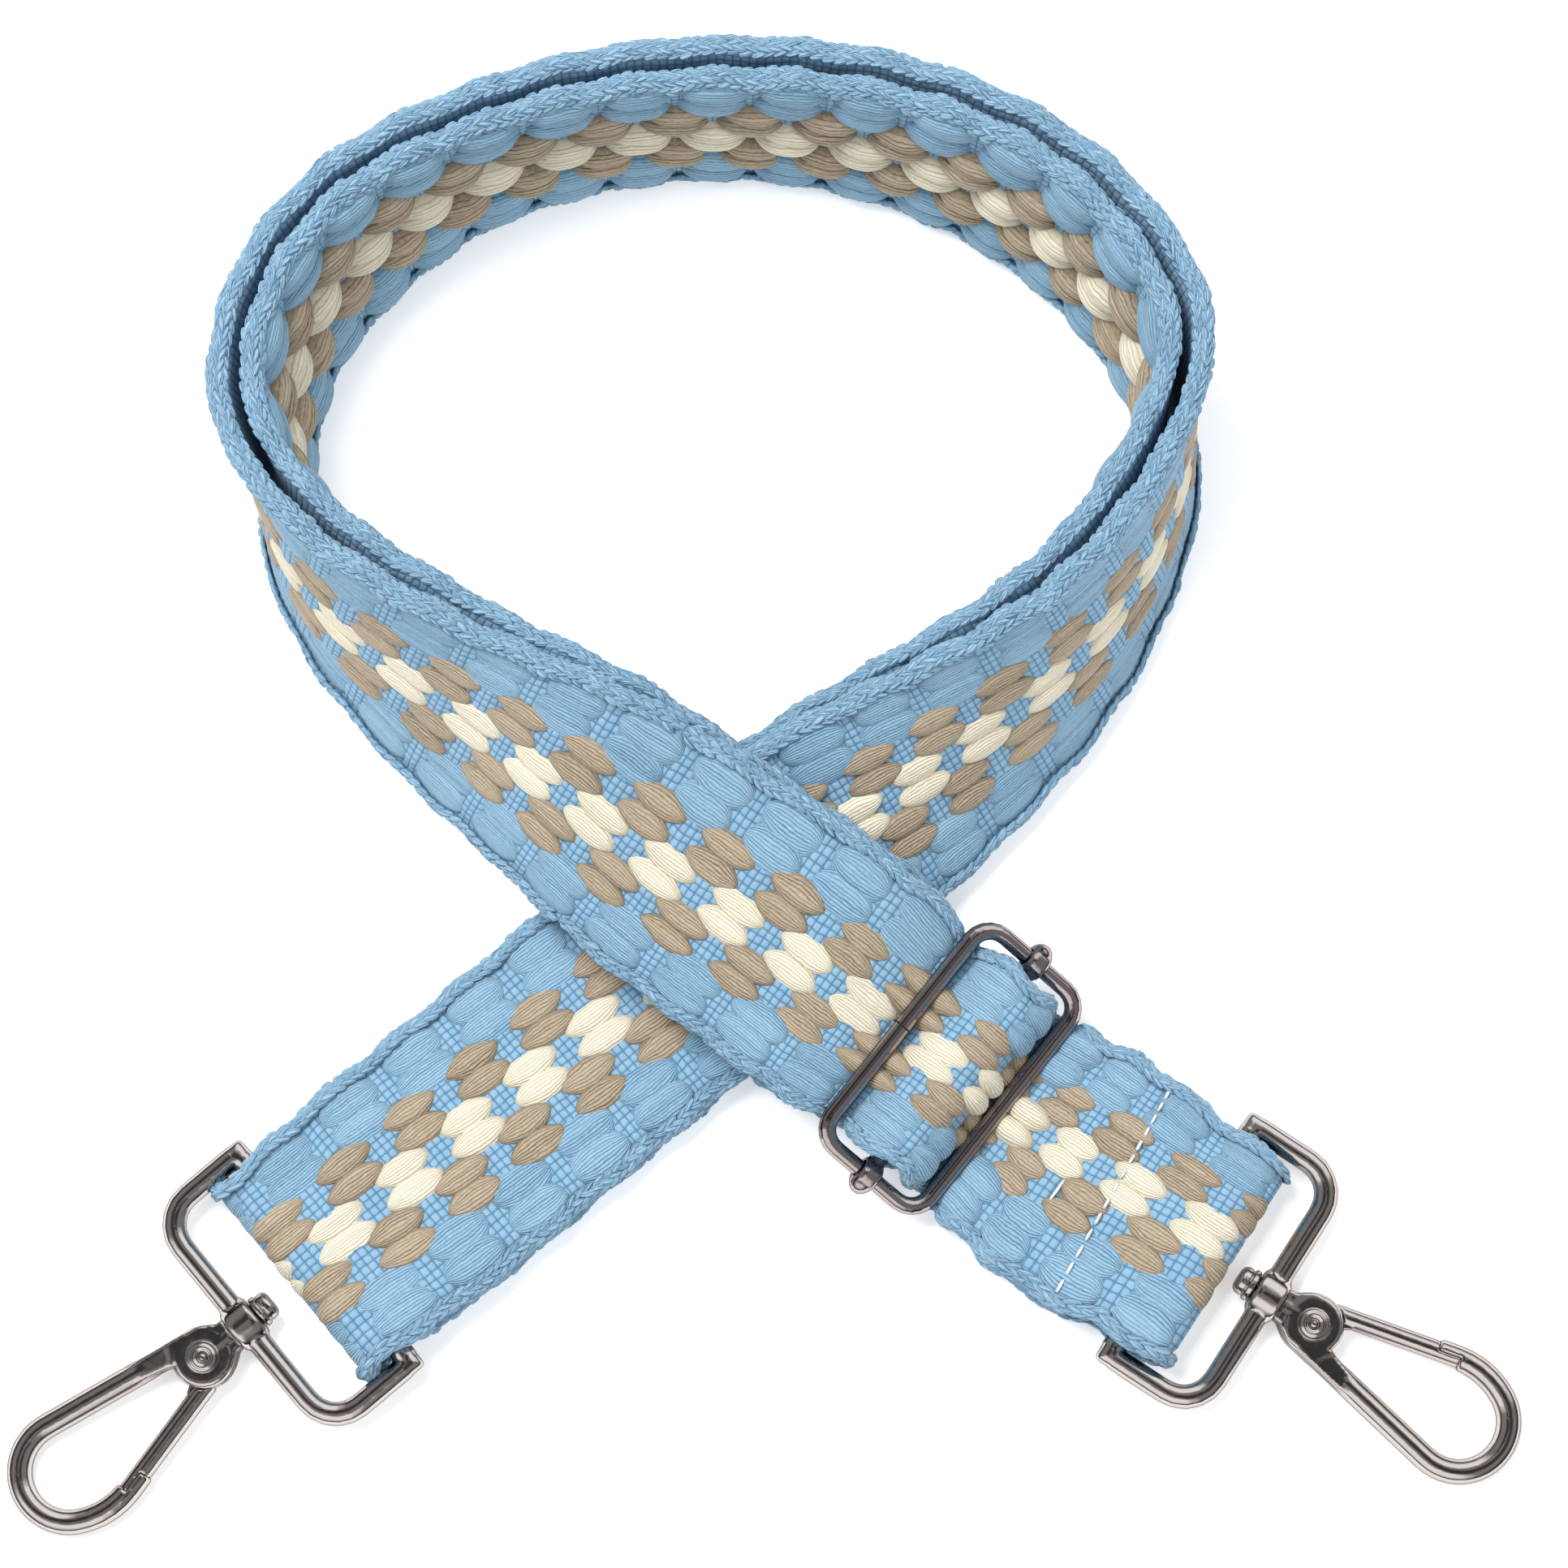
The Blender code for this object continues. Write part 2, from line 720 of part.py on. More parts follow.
def slider_matrix():
    """The slider's frame: X along the leg and up its slope, Y along its bars."""
    point, along, _, _, _ = route_frame(LOOP_LENGTH + SLIDER_FROM_CROSSING)
    point.z = SLIDER_HEIGHT
    across = Vector((-along.y, along.x, 0))
    lean = Matrix.Rotation(math.radians(SLIDER_TILT), 3, "Y")
    axes = Matrix((along, across, Vector((0, 0, 1)))).transposed() @ lean
    return Matrix.Translation(point) @ axes.to_4x4()


def build_slider(strap):
    """The wire frame and the loose bar with an eye round each short side of it."""
    matrix = slider_matrix()
    frame = empty("slider_frame_carrier", strap, matrix)
    bar = empty("slider_bar_carrier", frame, matrix)

    half_depth = (SLIDER_DEPTH - SLIDER_WIRE) / 2
    half_length = (SLIDER_LENGTH - SLIDER_WIRE) / 2
    path = []
    for quarter, (x, y) in enumerate(((1, 1), (-1, 1), (-1, -1), (1, -1))):
        centre = (x * (half_depth - SLIDER_CORNER), y * (half_length - SLIDER_CORNER))
        path += arc(centre, SLIDER_CORNER, 90 * quarter, 90 * quarter + 90, CORNER_STEPS)
    loop = wire(path, SLIDER_WIRE, SLIDER_WIRE, WIRE_SIDES, closed=True)
    piece("slider_frame", loop, "gunmetal", frame)

    eyes = []
    bores = []
    half_eye = EYE_LENGTH / 2
    edge = EYE_OUTER / 8
    bore = SLIDER_WIRE / 2 + CLEAR
    for side in (-1, 1):
        radius = EYE_OUTER / 2
        profile = ((-half_eye, radius - edge), (edge - half_eye, radius), (half_eye - edge, radius), (half_eye, radius - edge))
        eyes.append(moved(turned(profile, WIRE_SIDES), y=side * half_length))
        bores.append(moved(turned(((-OVERRUN, bore), (OVERRUN, bore)), WIRE_SIDES), y=side * half_length))
    rod = wire(((0, -half_length), (0, half_length)), BAR_WIRE, BAR_WIRE, WIRE_SIDES)
    piece("slider_bar", cut(join(rod, *eyes), *bores), "gunmetal", bar)
    return bar


# Rings and hooks. A ring's frame has its bar in the webbing's fold at the origin, along Y, and its front
# along +X. A hook's frame is at the middle of the ring's front bar.


def ring_reach():
    """From the bar in the fold to the front bar, centre to centre."""
    return RING_DEPTH - RING_WIRE


def build_ring_mesh():
    """A ring with square back corners, round front corners and a bored boss for the swivel."""
    front = ring_reach()
    half = (RING_WIDTH - RING_WIRE) / 2
    path = [(0, -half)]
    path += arc((front - RING_CORNER, RING_CORNER - half), RING_CORNER, -90, 0, CORNER_STEPS)
    path += arc((front - RING_CORNER, half - RING_CORNER), RING_CORNER, 0, 90, CORNER_STEPS)
    path.append((0, half))
    loop = wire(path, RING_WIRE, RING_WIRE, WIRE_SIDES, closed=True)
    reach = BOSS_LENGTH / 2
    edge = BOSS_LENGTH / 10
    radius = BOSS_WIDTH / 2
    profile = ((-reach, radius - edge), (edge - reach, radius), (reach - edge, radius), (reach, radius - edge))
    boss = moved(turned(profile, ROUND_SIDES, BOSS_HEIGHT / BOSS_WIDTH), x=front)
    bore = SWIVEL_SHANK / 2 + CLEAR
    hole = moved(turned(((-OVERRUN, bore), (OVERRUN, bore))), x=front)
    return cut(join(loop, boss), hole)


def swivel_face():
    """Where the hook's neck starts, just clear of the boss."""
    return BOSS_LENGTH / 2 + CLEAR


def build_swivel_rivet_mesh():
    """A stepped, domed head inside the ring and a shank through the boss into the hook's neck."""
    start = -swivel_face()
    head = SWIVEL_HEAD / 2
    shank = SWIVEL_SHANK / 2
    length = SWIVEL_HEAD_LENGTH
    profile = (
        (start - length, head * 0.45),
        (start - length * 0.93, head * 0.72),
        (start - length * 0.75, head * 0.86),
        (start - length * 0.45, head * 0.88),
        (start - length * 0.40, head * 0.76),
        (start - length * 0.34, head * 0.76),
        (start - length * 0.30, head),
        (start - length * 0.05, head),
        (start, head * 0.94),
        (start, shank),
        (swivel_face() + SWIVEL_GRIP, shank),
    )
    return turned(profile)


def gate_point(along, offset):
    """A plan point in the gate's frame, whose origin is its rivet, turned to the closed gate's heading."""
    return turn((along, offset), GATE_HEADING)


def bow_path():
    """Middle of the hook's bar in plan: the spine, the round end and the nose up to its lip."""
    centre = (BOW_FROM_RING, 0.0)
    start = (PLATE_FROM_RING, -SPINE_OFFSET)
    reach = math.hypot(centre[0] - start[0], centre[1] - start[1])
    toward = math.atan2(centre[1] - start[1], centre[0] - start[0])
    spine = toward - math.asin(BOW_RADIUS / reach)
    path = [start]
    path += arc(centre, BOW_RADIUS, math.degrees(spine) - 90, NOSE_START, 4 * CORNER_STEPS)
    share = math.sin(math.radians(NOSE_START - GATE_HEADING))
    centre_offset = -(BOW_FROM_RING - PLATE_FROM_RING) * math.sin(math.radians(GATE_HEADING))
    nose_radius = (GATE_OFFSET - centre_offset - BOW_RADIUS * share) / (1 - share)
    shift = BOW_RADIUS - nose_radius
    start_angle = math.radians(NOSE_START)
    nose = (centre[0] + shift * math.cos(start_angle), centre[1] + shift * math.sin(start_angle))
    path += arc(nose, nose_radius, NOSE_START, 90 + GATE_HEADING, CORNER_STEPS)[1:]
    lip = gate_point(LIP_START, GATE_OFFSET)
    path.append((PLATE_FROM_RING + lip[0], lip[1]))
    return path


def build_hook_mesh():
    """The plate with its slot, the neck, and the bar bent into the bow with a lipped nose."""
    half = PLATE_THICK / 2
    radius = PLATE_WIDTH / 2
    edge = PLATE_EDGE
    profile = ((-half, radius - edge), (edge - half, radius), (half - edge, radius), (half, radius - edge))
    plate = moved(upright(turned(profile)), x=PLATE_FROM_RING)
    neck = turned(((swivel_face(), NECK_WIDTH / 2), (PLATE_FROM_RING - NECK_WIDTH / 2, NECK_WIDTH / 2)))
    bow = wire(bow_path(), BOW_WIRE, BOW_HEIGHT, WIRE_SIDES)
    body = join(plate, neck, bow)

    pivot = (PLATE_FROM_RING, 0.0)
    first, last = SLOT_SWEEP
    outline = arc(pivot, radius + OVERRUN, first, last, CORNER_STEPS)
    outline += arc(pivot, TONGUE_EYE / 2 + CLEAR, last, first + 360, 3 * CORNER_STEPS)
    slot = slab(outline, -SLOT_HEIGHT / 2, SLOT_HEIGHT / 2)
    bore = PIN_SHANK / 2 + CLEAR
    recess = PIN_HEAD / 2 + CLEAR
    floor = half - PIN_RECESS
    steps = ((-OVERRUN, recess), (-floor, recess), (-floor, bore), (floor, bore), (floor, recess), (OVERRUN, recess))
    rivet_hole = moved(upright(turned(steps)), x=PLATE_FROM_RING)
    pocket_end = swivel_face() + SWIVEL_GRIP + POCKET_SPARE
    pocket = turned(((0, SWIVEL_SHANK / 2 + CLEAR), (pocket_end, SWIVEL_SHANK / 2 + CLEAR)))
    inner = GATE_OFFSET + STEP_GAP / 2
    step_outline = (
        gate_point(LIP_START - OVERRUN, inner),
        gate_point(LIP_START - OVERRUN, -OVERRUN),
        gate_point(GATE_TIP + STEP_GAP, -OVERRUN),
        gate_point(GATE_TIP + STEP_GAP, inner),
    )
    step = moved(slab(step_outline, -OVERRUN, OVERRUN), x=PLATE_FROM_RING)
    return cut(body, slot, rivet_hole, pocket, step)


def tongue_heights():
    """Bottom and top of the gate's tongue, in the upper part of the slot."""
    top = SLOT_HEIGHT / 2 - TONGUE_SPARE
    return top - TONGUE_THICK, top


def build_gate_mesh():
    """The gate's bar with its stepped tip, and the tongue that turns on the rivet."""
    start = gate_point(WEB_START, GATE_OFFSET)
    end = gate_point(GATE_TIP, GATE_OFFSET)
    bar = wire((start, end), GATE_WIRE, GATE_HEIGHT, WIRE_SIDES)
    root_radius = PLATE_WIDTH / 2 + CLEAR
    root = upright(turned(((-OVERRUN, root_radius), (OVERRUN, root_radius))))
    outer = GATE_OFFSET - STEP_GAP / 2
    tip_outline = (
        gate_point(LIP_START - STEP_GAP, outer),
        gate_point(GATE_TIP + OVERRUN, outer),
        gate_point(GATE_TIP + OVERRUN, GATE_OFFSET + OVERRUN),
        gate_point(LIP_START - STEP_GAP, GATE_OFFSET + OVERRUN),
    )
    bar = cut(bar, root, slab(tip_outline, -OVERRUN, OVERRUN))

    low, high = tongue_heights()
    eye = upright(turned(((low, TONGUE_EYE / 2), (high, TONGUE_EYE / 2))))
    inner = GATE_OFFSET - GATE_WIRE / 2
    outer = GATE_OFFSET + GATE_WIRE / 3
    deep = root_radius + GATE_WIRE / 3
    web_corners = ((WEB_START, 0.0), (deep, inner), (deep, outer), (WEB_START, outer))
    web = slab([gate_point(x, y) for x, y in web_corners], low, high)
    lug_corners = ((LUG_START, inner), (deep, inner), (deep, outer), (LUG_START, outer))
    lug_low = SPRING_FLOOR - SLOT_HEIGHT / 2
    lug = slab([gate_point(x, y) for x, y in lug_corners], lug_low, high)
    bore_radius = PIN_SHANK / 2 + CLEAR
    bore = upright(turned(((-OVERRUN, bore_radius), (OVERRUN, bore_radius))))
    return cut(join(eye, web, lug, bar), bore)


def build_gate_rivet_mesh():
    """A rivet with a dimpled head in each face of the plate."""
    face = PLATE_THICK / 2 + PIN_PROUD
    head = PIN_HEAD / 2
    shank = PIN_SHANK / 2
    under = face - PIN_HEAD_THICK
    dimple = PIN_DIMPLE / 2
    half_profile = [
        (face - PIN_DIMPLE_DEPTH, dimple / 2),
        (face, dimple),
        (face, head - PIN_HEAD_THICK / 3),
        (face - PIN_HEAD_THICK / 3, head),
        (under, head),
        (under, shank),
    ]
    profile = [(-x, radius) for x, radius in half_profile] + half_profile[::-1]
    return upright(turned(profile))


def build_spring_mesh():
    """A hairpin spring round the rivet: one leg behind the gate's lug, one against the slot's wall."""
    radius = SPRING_COIL / 2
    path = [gate_point(SPRING_LEG, GATE_OFFSET - GATE_WIRE / 2 - CLEAR - SPRING_WIRE / 2)]
    path += arc((0, 0), radius, 35 + GATE_HEADING, 300, 3 * CORNER_STEPS)
    path.append(turn((SPRING_FOOT, 0), -32))
    level = SPRING_FLOOR + SPRING_WIRE / 2 - SLOT_HEIGHT / 2
    return wire(path, SPRING_WIRE, SPRING_WIRE, THIN_SIDES, level=level)


def droop():
    """Angle by which a ring and its hook hang from the fold down to the plane that they lie on."""
    bar_height = WEB_THICK + fold_gap() / 2
    far = ring_reach() + BOW_FROM_RING + BOW_RADIUS
    return math.degrees(math.asin((bar_height - BOW_HEIGHT / 2) / far))


def ring_matrix(distance, outwards):
    """A ring's frame in the fold at one end of the route."""
    point, along, _, _, _ = route_frame(distance)
    along = along * outwards
    point.z = WEB_THICK + fold_gap() / 2
    across = Vector((-along.y, along.x, 0))
    axes = Matrix((along, across, Vector((0, 0, 1)))).transposed()
    return Matrix.Translation(point) @ (axes @ Matrix.Rotation(math.radians(droop()), 3, "Y")).to_4x4()


def build_hooks(strap):
    """A ring, a swivel, a hook and a gate at each end of the strap."""
    ring = build_ring_mesh()
    rivet = build_swivel_rivet_mesh()
    hook = build_hook_mesh()
    gate = build_gate_mesh()
    gate_rivet = build_gate_rivet_mesh()
    spring = build_spring_mesh()
    for side, distance, outwards in (("left", -LEFT_LEG, -1), ("right", RIGHT_BAR, 1)):
        at_ring = ring_matrix(distance, outwards)
        ring_carrier = empty(f"{side}_ring_carrier", strap, at_ring)
        at_hook = at_ring @ Matrix.Translation((ring_reach(), 0, 0))
        hook_carrier = empty(f"{side}_hook_carrier", ring_carrier, at_hook)
        at_gate = at_hook @ Matrix.Translation((PLATE_FROM_RING, 0, 0))
        gate_carrier = empty(f"{side}_gate_carrier", hook_carrier, at_gate)
        piece(f"{side}_ring", ring, "nickel", ring_carrier)
        piece(f"{side}_swivel_rivet", rivet, "nickel", hook_carrier)
        piece(f"{side}_hook_body", hook, "nickel", hook_carrier)
        piece(f"{side}_gate", gate, "nickel", gate_carrier)
        for name, mesh, finish_name in (("gate_rivet", gate_rivet, "nickel"), ("gate_spring", spring, "spring_steel")):
            part = piece(f"{side}_{name}", mesh, finish_name, hook_carrier)
            part.location = (PLATE_FROM_RING, 0, 0)


def centre_on_plane(strap):
    """Move the strap so that the middle of its outline in plan is over the origin."""
    bpy.context.view_layer.update()
    corners = []
    for obj in bpy.data.objects:
        if obj.type == "MESH":
            corners += [obj.matrix_world @ vertex.co for vertex in obj.data.vertices]
    for axis in range(2):
        places = [corner[axis] for corner in corners]
        strap.location[axis] = -(min(places) + max(places)) / 2
    bpy.context.view_layer.update()


def main():
    for obj in list(bpy.data.objects):
        bpy.data.objects.remove(obj)
    strap = empty("strap_carrier", None, Matrix.Identity(4))
    slider_bar = build_slider(strap)
    build_webbing(strap, slider_bar)
    build_hooks(strap)
    centre_on_plane(strap)
    for obj in bpy.data.objects:
        if obj.type == "EMPTY":
            place = ", ".join(f"{value:.5f}" for value in obj.matrix_world.translation)
            print(f"{obj.name} at {place}")


main()
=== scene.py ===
# %% [markdown]
# # A woven bag strap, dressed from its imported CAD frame
#
# The strap is one length of patterned webbing with a slider and two swivel hooks. It lies on a white table in a
# crossed loop: the two ends lie flat, and the loop stands on its edge.
#
# The CAD frame holds every solid piece and every joint. This script builds what the eye sees on top of it:
#
# - the webbing's ground weave, its raised yarn floats, its braided edges and its stitches
# - the polished wire of the slider, the rings and the hooks
#
# Lengths are metres. Z is up, and the table is the plane Z = 0.

# %% Load the frame
import math

import bmesh
import bpy
import numpy as np
from mathutils import Matrix, Vector


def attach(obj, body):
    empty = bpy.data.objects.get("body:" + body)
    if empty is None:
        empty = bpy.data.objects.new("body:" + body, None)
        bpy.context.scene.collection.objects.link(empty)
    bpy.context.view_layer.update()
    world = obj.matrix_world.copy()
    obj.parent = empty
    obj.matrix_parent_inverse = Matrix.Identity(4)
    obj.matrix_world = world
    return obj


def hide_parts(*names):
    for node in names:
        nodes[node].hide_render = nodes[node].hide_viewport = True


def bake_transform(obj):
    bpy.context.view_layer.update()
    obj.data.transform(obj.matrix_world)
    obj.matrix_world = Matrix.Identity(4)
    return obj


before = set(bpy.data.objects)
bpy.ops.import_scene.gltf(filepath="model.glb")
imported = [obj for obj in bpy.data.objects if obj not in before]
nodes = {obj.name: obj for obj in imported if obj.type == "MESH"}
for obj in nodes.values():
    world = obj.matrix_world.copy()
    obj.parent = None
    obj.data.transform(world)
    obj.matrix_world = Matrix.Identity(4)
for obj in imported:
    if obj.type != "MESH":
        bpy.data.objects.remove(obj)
bpy.context.view_layer.update()
MM = 0.001
SIDES = ("left", "right")


def add_to_scene(name, data):
    """A new object in the scene, from a mesh, a lamp or a camera."""
    made = bpy.data.objects.new(name, data)
    bpy.context.scene.collection.objects.link(made)
    return made


# %% [markdown]
# ## Camera
#
# The photograph looks down steeply from the hooks' side. A long lens keeps the two hooks the same size, so the
# camera stands 0.8 m away, 80 degrees above the table.

# %% Place the camera
PHOTO_CENTRE = Vector((0.00293, 0.00346, 0.0))
CAMERA_AWAY = 0.8
CAMERA_ELEVATION = 80
FRAME_WIDTH = 0.2455
SENSOR_WIDTH = 36

elevation = math.radians(CAMERA_ELEVATION)
back = Vector((0, -math.cos(elevation), math.sin(elevation)))
camera = add_to_scene("camera", bpy.data.cameras.new("camera"))
camera.location = PHOTO_CENTRE + back * CAMERA_AWAY
camera.rotation_euler = (math.radians(90 - CAMERA_ELEVATION), 0, 0)
camera.data.sensor_width = SENSOR_WIDTH
camera.data.lens = SENSOR_WIDTH * CAMERA_AWAY / FRAME_WIDTH
camera.data.clip_start = 0.05
bpy.context.scene.camera = camera
print("camera at", [round(value, 4) for value in camera.location], "lens", round(camera.data.lens, 1), "mm")

# %% [markdown]
# ## The route of the webbing
#
# The webbing follows a line on the table. At each place along that line it has a heading and a tilt: 0 lies flat
# and 90 stands on its edge. The route starts at the left hook, passes under the crossing, goes round the loop,
# passes over the crossing and ends at the right hook. Two layers follow it, one on each side of a small gap.
#
# A wire or cloth simulation could find such a shape, but the frame already fixes it to a fraction of a
# millimetre. So the same numbers are laid out here again, and everything woven is then placed on them.

# %% Lay out the route
WEB_WIDTH = 0.0395
WEB_THICK = 0.0032
PRESSED_THICK = 0.0022
LAYER_GAP = 0.0005
LOOP_GAP = 0.0018
CLEAR = 0.0003
LOOP_LENGTH = 0.403
LEFT_LEG = 0.0828
RIGHT_LEG = 0.0842
HOOK_FLAP = 0.024
FOLD_RUN = 0.028
FOLD_TAPER = 0.010
RIGHT_END = LOOP_LENGTH + RIGHT_LEG
ROUTE_STEPS = 1600

LEFT_LEG_KNOTS = ((-1.0, 40, 0), (-0.39, 40, 0))
LOOP_KNOTS = (
    (0.00, 40, 13), (0.06, 35, 35), (0.12, 39, 55), (0.18, 55, 70), (0.24, 74, 82), (0.30, 118, 98),
    (0.36, 143, 100), (0.42, 162, 98), (0.50, 182, 95), (0.58, 201, 95), (0.66, 229, 101), (0.72, 264, 99),
    (0.78, 301, 82), (0.84, 320, 65), (0.90, 324, 48), (0.95, 323, 30), (1.00, 325, 18),
)
RIGHT_LEG_KNOTS = ((0.19, 324, 10), (0.30, 322.5, 4), (0.38, 321.5, 0), (0.55, 321.5, 0), (1.0, 327, 0))


def through_knots(places, values, wanted):
    """A smooth curve through the knots that never overshoots them."""
    rise = np.diff(values) / np.diff(places)
    slope = np.zeros(len(places))
    for i in range(1, len(places) - 1):
        if rise[i - 1] * rise[i] > 0:
            after = places[i + 1] - places[i]
            before = places[i] - places[i - 1]
            weights = (2 * after + before, after + 2 * before)
            slope[i] = sum(weights) / (weights[0] / rise[i - 1] + weights[1] / rise[i])
    i = np.clip(np.searchsorted(places, wanted, side="right") - 1, 0, len(places) - 2)
    run = places[i + 1] - places[i]
    t = np.clip((wanted - places[i]) / run, 0, 1)
    return (
        (2 * t**3 - 3 * t**2 + 1) * values[i] + (t**3 - 2 * t**2 + t) * run * slope[i]
        + (3 * t**2 - 2 * t**3) * values[i + 1] + (t**3 - t**2) * run * slope[i + 1]
    )


def lay_route():
    """Distance, x, y, heading and tilt along the route, with the crossing at the origin."""
    knots = [(share * LEFT_LEG, heading, tilt) for share, heading, tilt in LEFT_LEG_KNOTS]
    knots += [(share * LOOP_LENGTH, heading, tilt) for share, heading, tilt in LOOP_KNOTS]
    knots += [(LOOP_LENGTH + share * RIGHT_LEG, heading, tilt) for share, heading, tilt in RIGHT_LEG_KNOTS]
    knots = np.array(knots)
    distance = np.linspace(knots[0, 0], knots[-1, 0], ROUTE_STEPS)
    heading = np.radians(through_knots(knots[:, 0], knots[:, 1], distance))
    tilt = np.radians(through_knots(knots[:, 0], knots[:, 2], distance))
    step = np.diff(distance)
    x = np.concatenate([[0], np.cumsum((np.cos(heading[1:]) + np.cos(heading[:-1])) / 2 * step)])
    y = np.concatenate([[0], np.cumsum((np.sin(heading[1:]) + np.sin(heading[:-1])) / 2 * step)])
    return distance, x - np.interp(0, distance, x), y - np.interp(0, distance, y), heading, tilt


ROUTE = lay_route()
print(f"route: {1000 * (ROUTE[0][-1] - ROUTE[0][0]):.0f} mm from hook to hook")

# %% [markdown]
# The webbing's own shape changes along the route. It is drawn in where it passes the rings and the slider, it
# opens round the rings' bars, and the upper leg climbs over the two layers of the lower one.

# %% Sections of the webbing
SLIDER_PLACE = 0.0404
SLIDER_HEIGHT = 0.0102
SLIDER_TILT = 21
SLIDER_LENGTH = 0.043
SLIDER_DEPTH = 0.022
SLIDER_WIRE = 0.0028
SLIDER_CORNER = 0.0036
BAR_WIRE = 0.0028
EYE_OUTER = 0.0052
RING_WIDTH = 0.0454
RING_WIRE = 0.0036
PRESSED_RUN = 0.012
TAIL_END_SHARE = 0.4
FOLD_STEPS = 24
ZONE = SLIDER_PLACE - SLIDER_DEPTH / 2 - 0.007675
FOLD_OPEN = RING_WIRE + 2 * CLEAR
CROSSING_RISE = 2 * WEB_THICK + LAYER_GAP + 0.0016
CLIMB = (1.45, 0.66)
DESCENT = (0.2, 1.25)


def smoothstep(share):
    """Ease from 0 to 1, held flat outside."""
    share = np.clip(share, 0.0, 1.0)
    return share * share * (3 - 2 * share)


def route_frame(distance):
    """Plan point, along, across and outward vectors of the route, and its tilt."""
    x, y, heading, tilt = (float(np.interp(distance, ROUTE[0], column)) for column in ROUTE[1:])
    along = np.array([math.cos(heading), math.sin(heading), 0])
    inward = np.array([-along[1], along[0], 0])
    up = np.array([0, 0, 1.0])
    across = inward * math.cos(tilt) + up * math.sin(tilt)
    outward = up * math.cos(tilt) - inward * math.sin(tilt)
    return np.array([x, y, 0.0]), along, across, outward, tilt


def from_ends(distance):
    """How far a place is from the nearer of the two folds."""
    return min(distance + LEFT_LEG, RIGHT_END - distance)


def near_slider(distance):
    """Share of the slider's grip on the webbing."""
    return smoothstep((distance - LOOP_LENGTH - ZONE + PRESSED_RUN) / PRESSED_RUN)


def lift(distance):
    """Height of the webbing's lower edge over the table."""
    past = (distance - LOOP_LENGTH) / WEB_WIDTH
    (start, full), (hold, stop) = CLIMB, DESCENT
    share = (start + past) / (start - full) if past < 0 else (stop - past) / (stop - hold)
    return CROSSING_RISE * smoothstep(share)


def half_width(distance):
    """Half the width: full, but drawn in to pass the rings and the slider."""
    full = WEB_WIDTH / 2
    ring_room = RING_WIDTH / 2 - RING_WIRE - 1.5 * CLEAR
    slider_room = SLIDER_LENGTH / 2 - SLIDER_WIRE - SLIDER_CORNER / 4
    ring = smoothstep(1 - (from_ends(distance) - FOLD_TAPER / 2) / FOLD_TAPER)
    past = abs(distance - LOOP_LENGTH - SLIDER_PLACE)
    slider = smoothstep(1 - (past - SLIDER_DEPTH / 2) / FOLD_TAPER)
    return min(full + (ring_room - full) * ring, full + (slider_room - full) * slider)


def layer_station(distance, side):
    """The section of the outer layer (side 1) or the inner layer (side -1), its good face turned outwards."""
    point, _, across, outward, tilt = route_frame(distance)
    before_slider = distance - LOOP_LENGTH < SLIDER_PLACE
    gap = LAYER_GAP + (LOOP_GAP - LAYER_GAP) * math.sin(tilt) ** 2
    gap += (FOLD_OPEN - LAYER_GAP) * smoothstep(1 - from_ends(distance) / FOLD_RUN)
    thick = WEB_THICK
    if before_slider:
        gap += (PRESSED_THICK + 5 * CLEAR - LAYER_GAP) * near_slider(distance)
        thick += (PRESSED_THICK - WEB_THICK) * near_slider(distance)
    reach = thick + gap / 2
    full = WEB_WIDTH / 2
    low = min(-full * across[2] + reach * outward[2], -full * across[2] - reach * outward[2])
    point[2] = lift(distance) - low
    middle = point + outward * side * (gap + thick) / 2
    return middle, across, outward * side, thick, half_width(distance)


def layer(start, end, side):
    """Sections of one layer between two places, about a millimetre apart."""
    count = max(2, round(abs(end - start) / MM))
    return [layer_station(place, side) for place in np.linspace(start, end, count + 1)]


def fold(distance, outwards):
    """Sections of the half turn round a ring's bar, from the outer layer to the inner one."""
    upper = layer_station(distance, 1)
    lower = layer_station(distance, -1)
    axis = (upper[0] + lower[0]) / 2
    radius = np.linalg.norm(upper[0] - lower[0]) / 2
    _, along, across, outward, _ = route_frame(distance)
    sections = []
    for i in range(1, FOLD_STEPS):
        angle = math.pi * i / FOLD_STEPS
        face = outward * math.cos(angle) + along * outwards * math.sin(angle)
        sections.append((axis + face * radius, across, face, upper[3], upper[4]))
    return sections


hook_end_sections = layer(RIGHT_END - HOOK_FLAP, RIGHT_END, -1) + fold(RIGHT_END, 1)[::-1]
hook_end_sections += layer(RIGHT_END, RIGHT_END - HOOK_FLAP, 1)
loop_sections = layer(LOOP_LENGTH + ZONE, -LEFT_LEG, 1) + fold(-LEFT_LEG, -1)
loop_sections += layer(-LEFT_LEG, LOOP_LENGTH - WEB_WIDTH, -1)
take_up_sections = layer(LOOP_LENGTH - WEB_WIDTH, LOOP_LENGTH + ZONE, -1)
print("sections:", len(hook_end_sections), len(loop_sections), len(take_up_sections))

# %% [markdown]
# At the slider the webbing is pulled like a string round the wires: the outer layer goes under the frame, over the
# loose bar and under the frame again. The inner layer is wrapped round the loose bar and sewn to itself.

# %% Sections through the slider


def slider_points():
    """Middles of the slider's left, loose and right bars, as (past the crossing, height)."""
    across = (SLIDER_DEPTH - SLIDER_WIRE) / 2
    run = (across * math.cos(math.radians(SLIDER_TILT)), across * math.sin(math.radians(SLIDER_TILT)))
    middle = (SLIDER_PLACE, SLIDER_HEIGHT)
    return (middle[0] - run[0], middle[1] + run[1]), middle, (middle[0] + run[0], middle[1] - run[1])


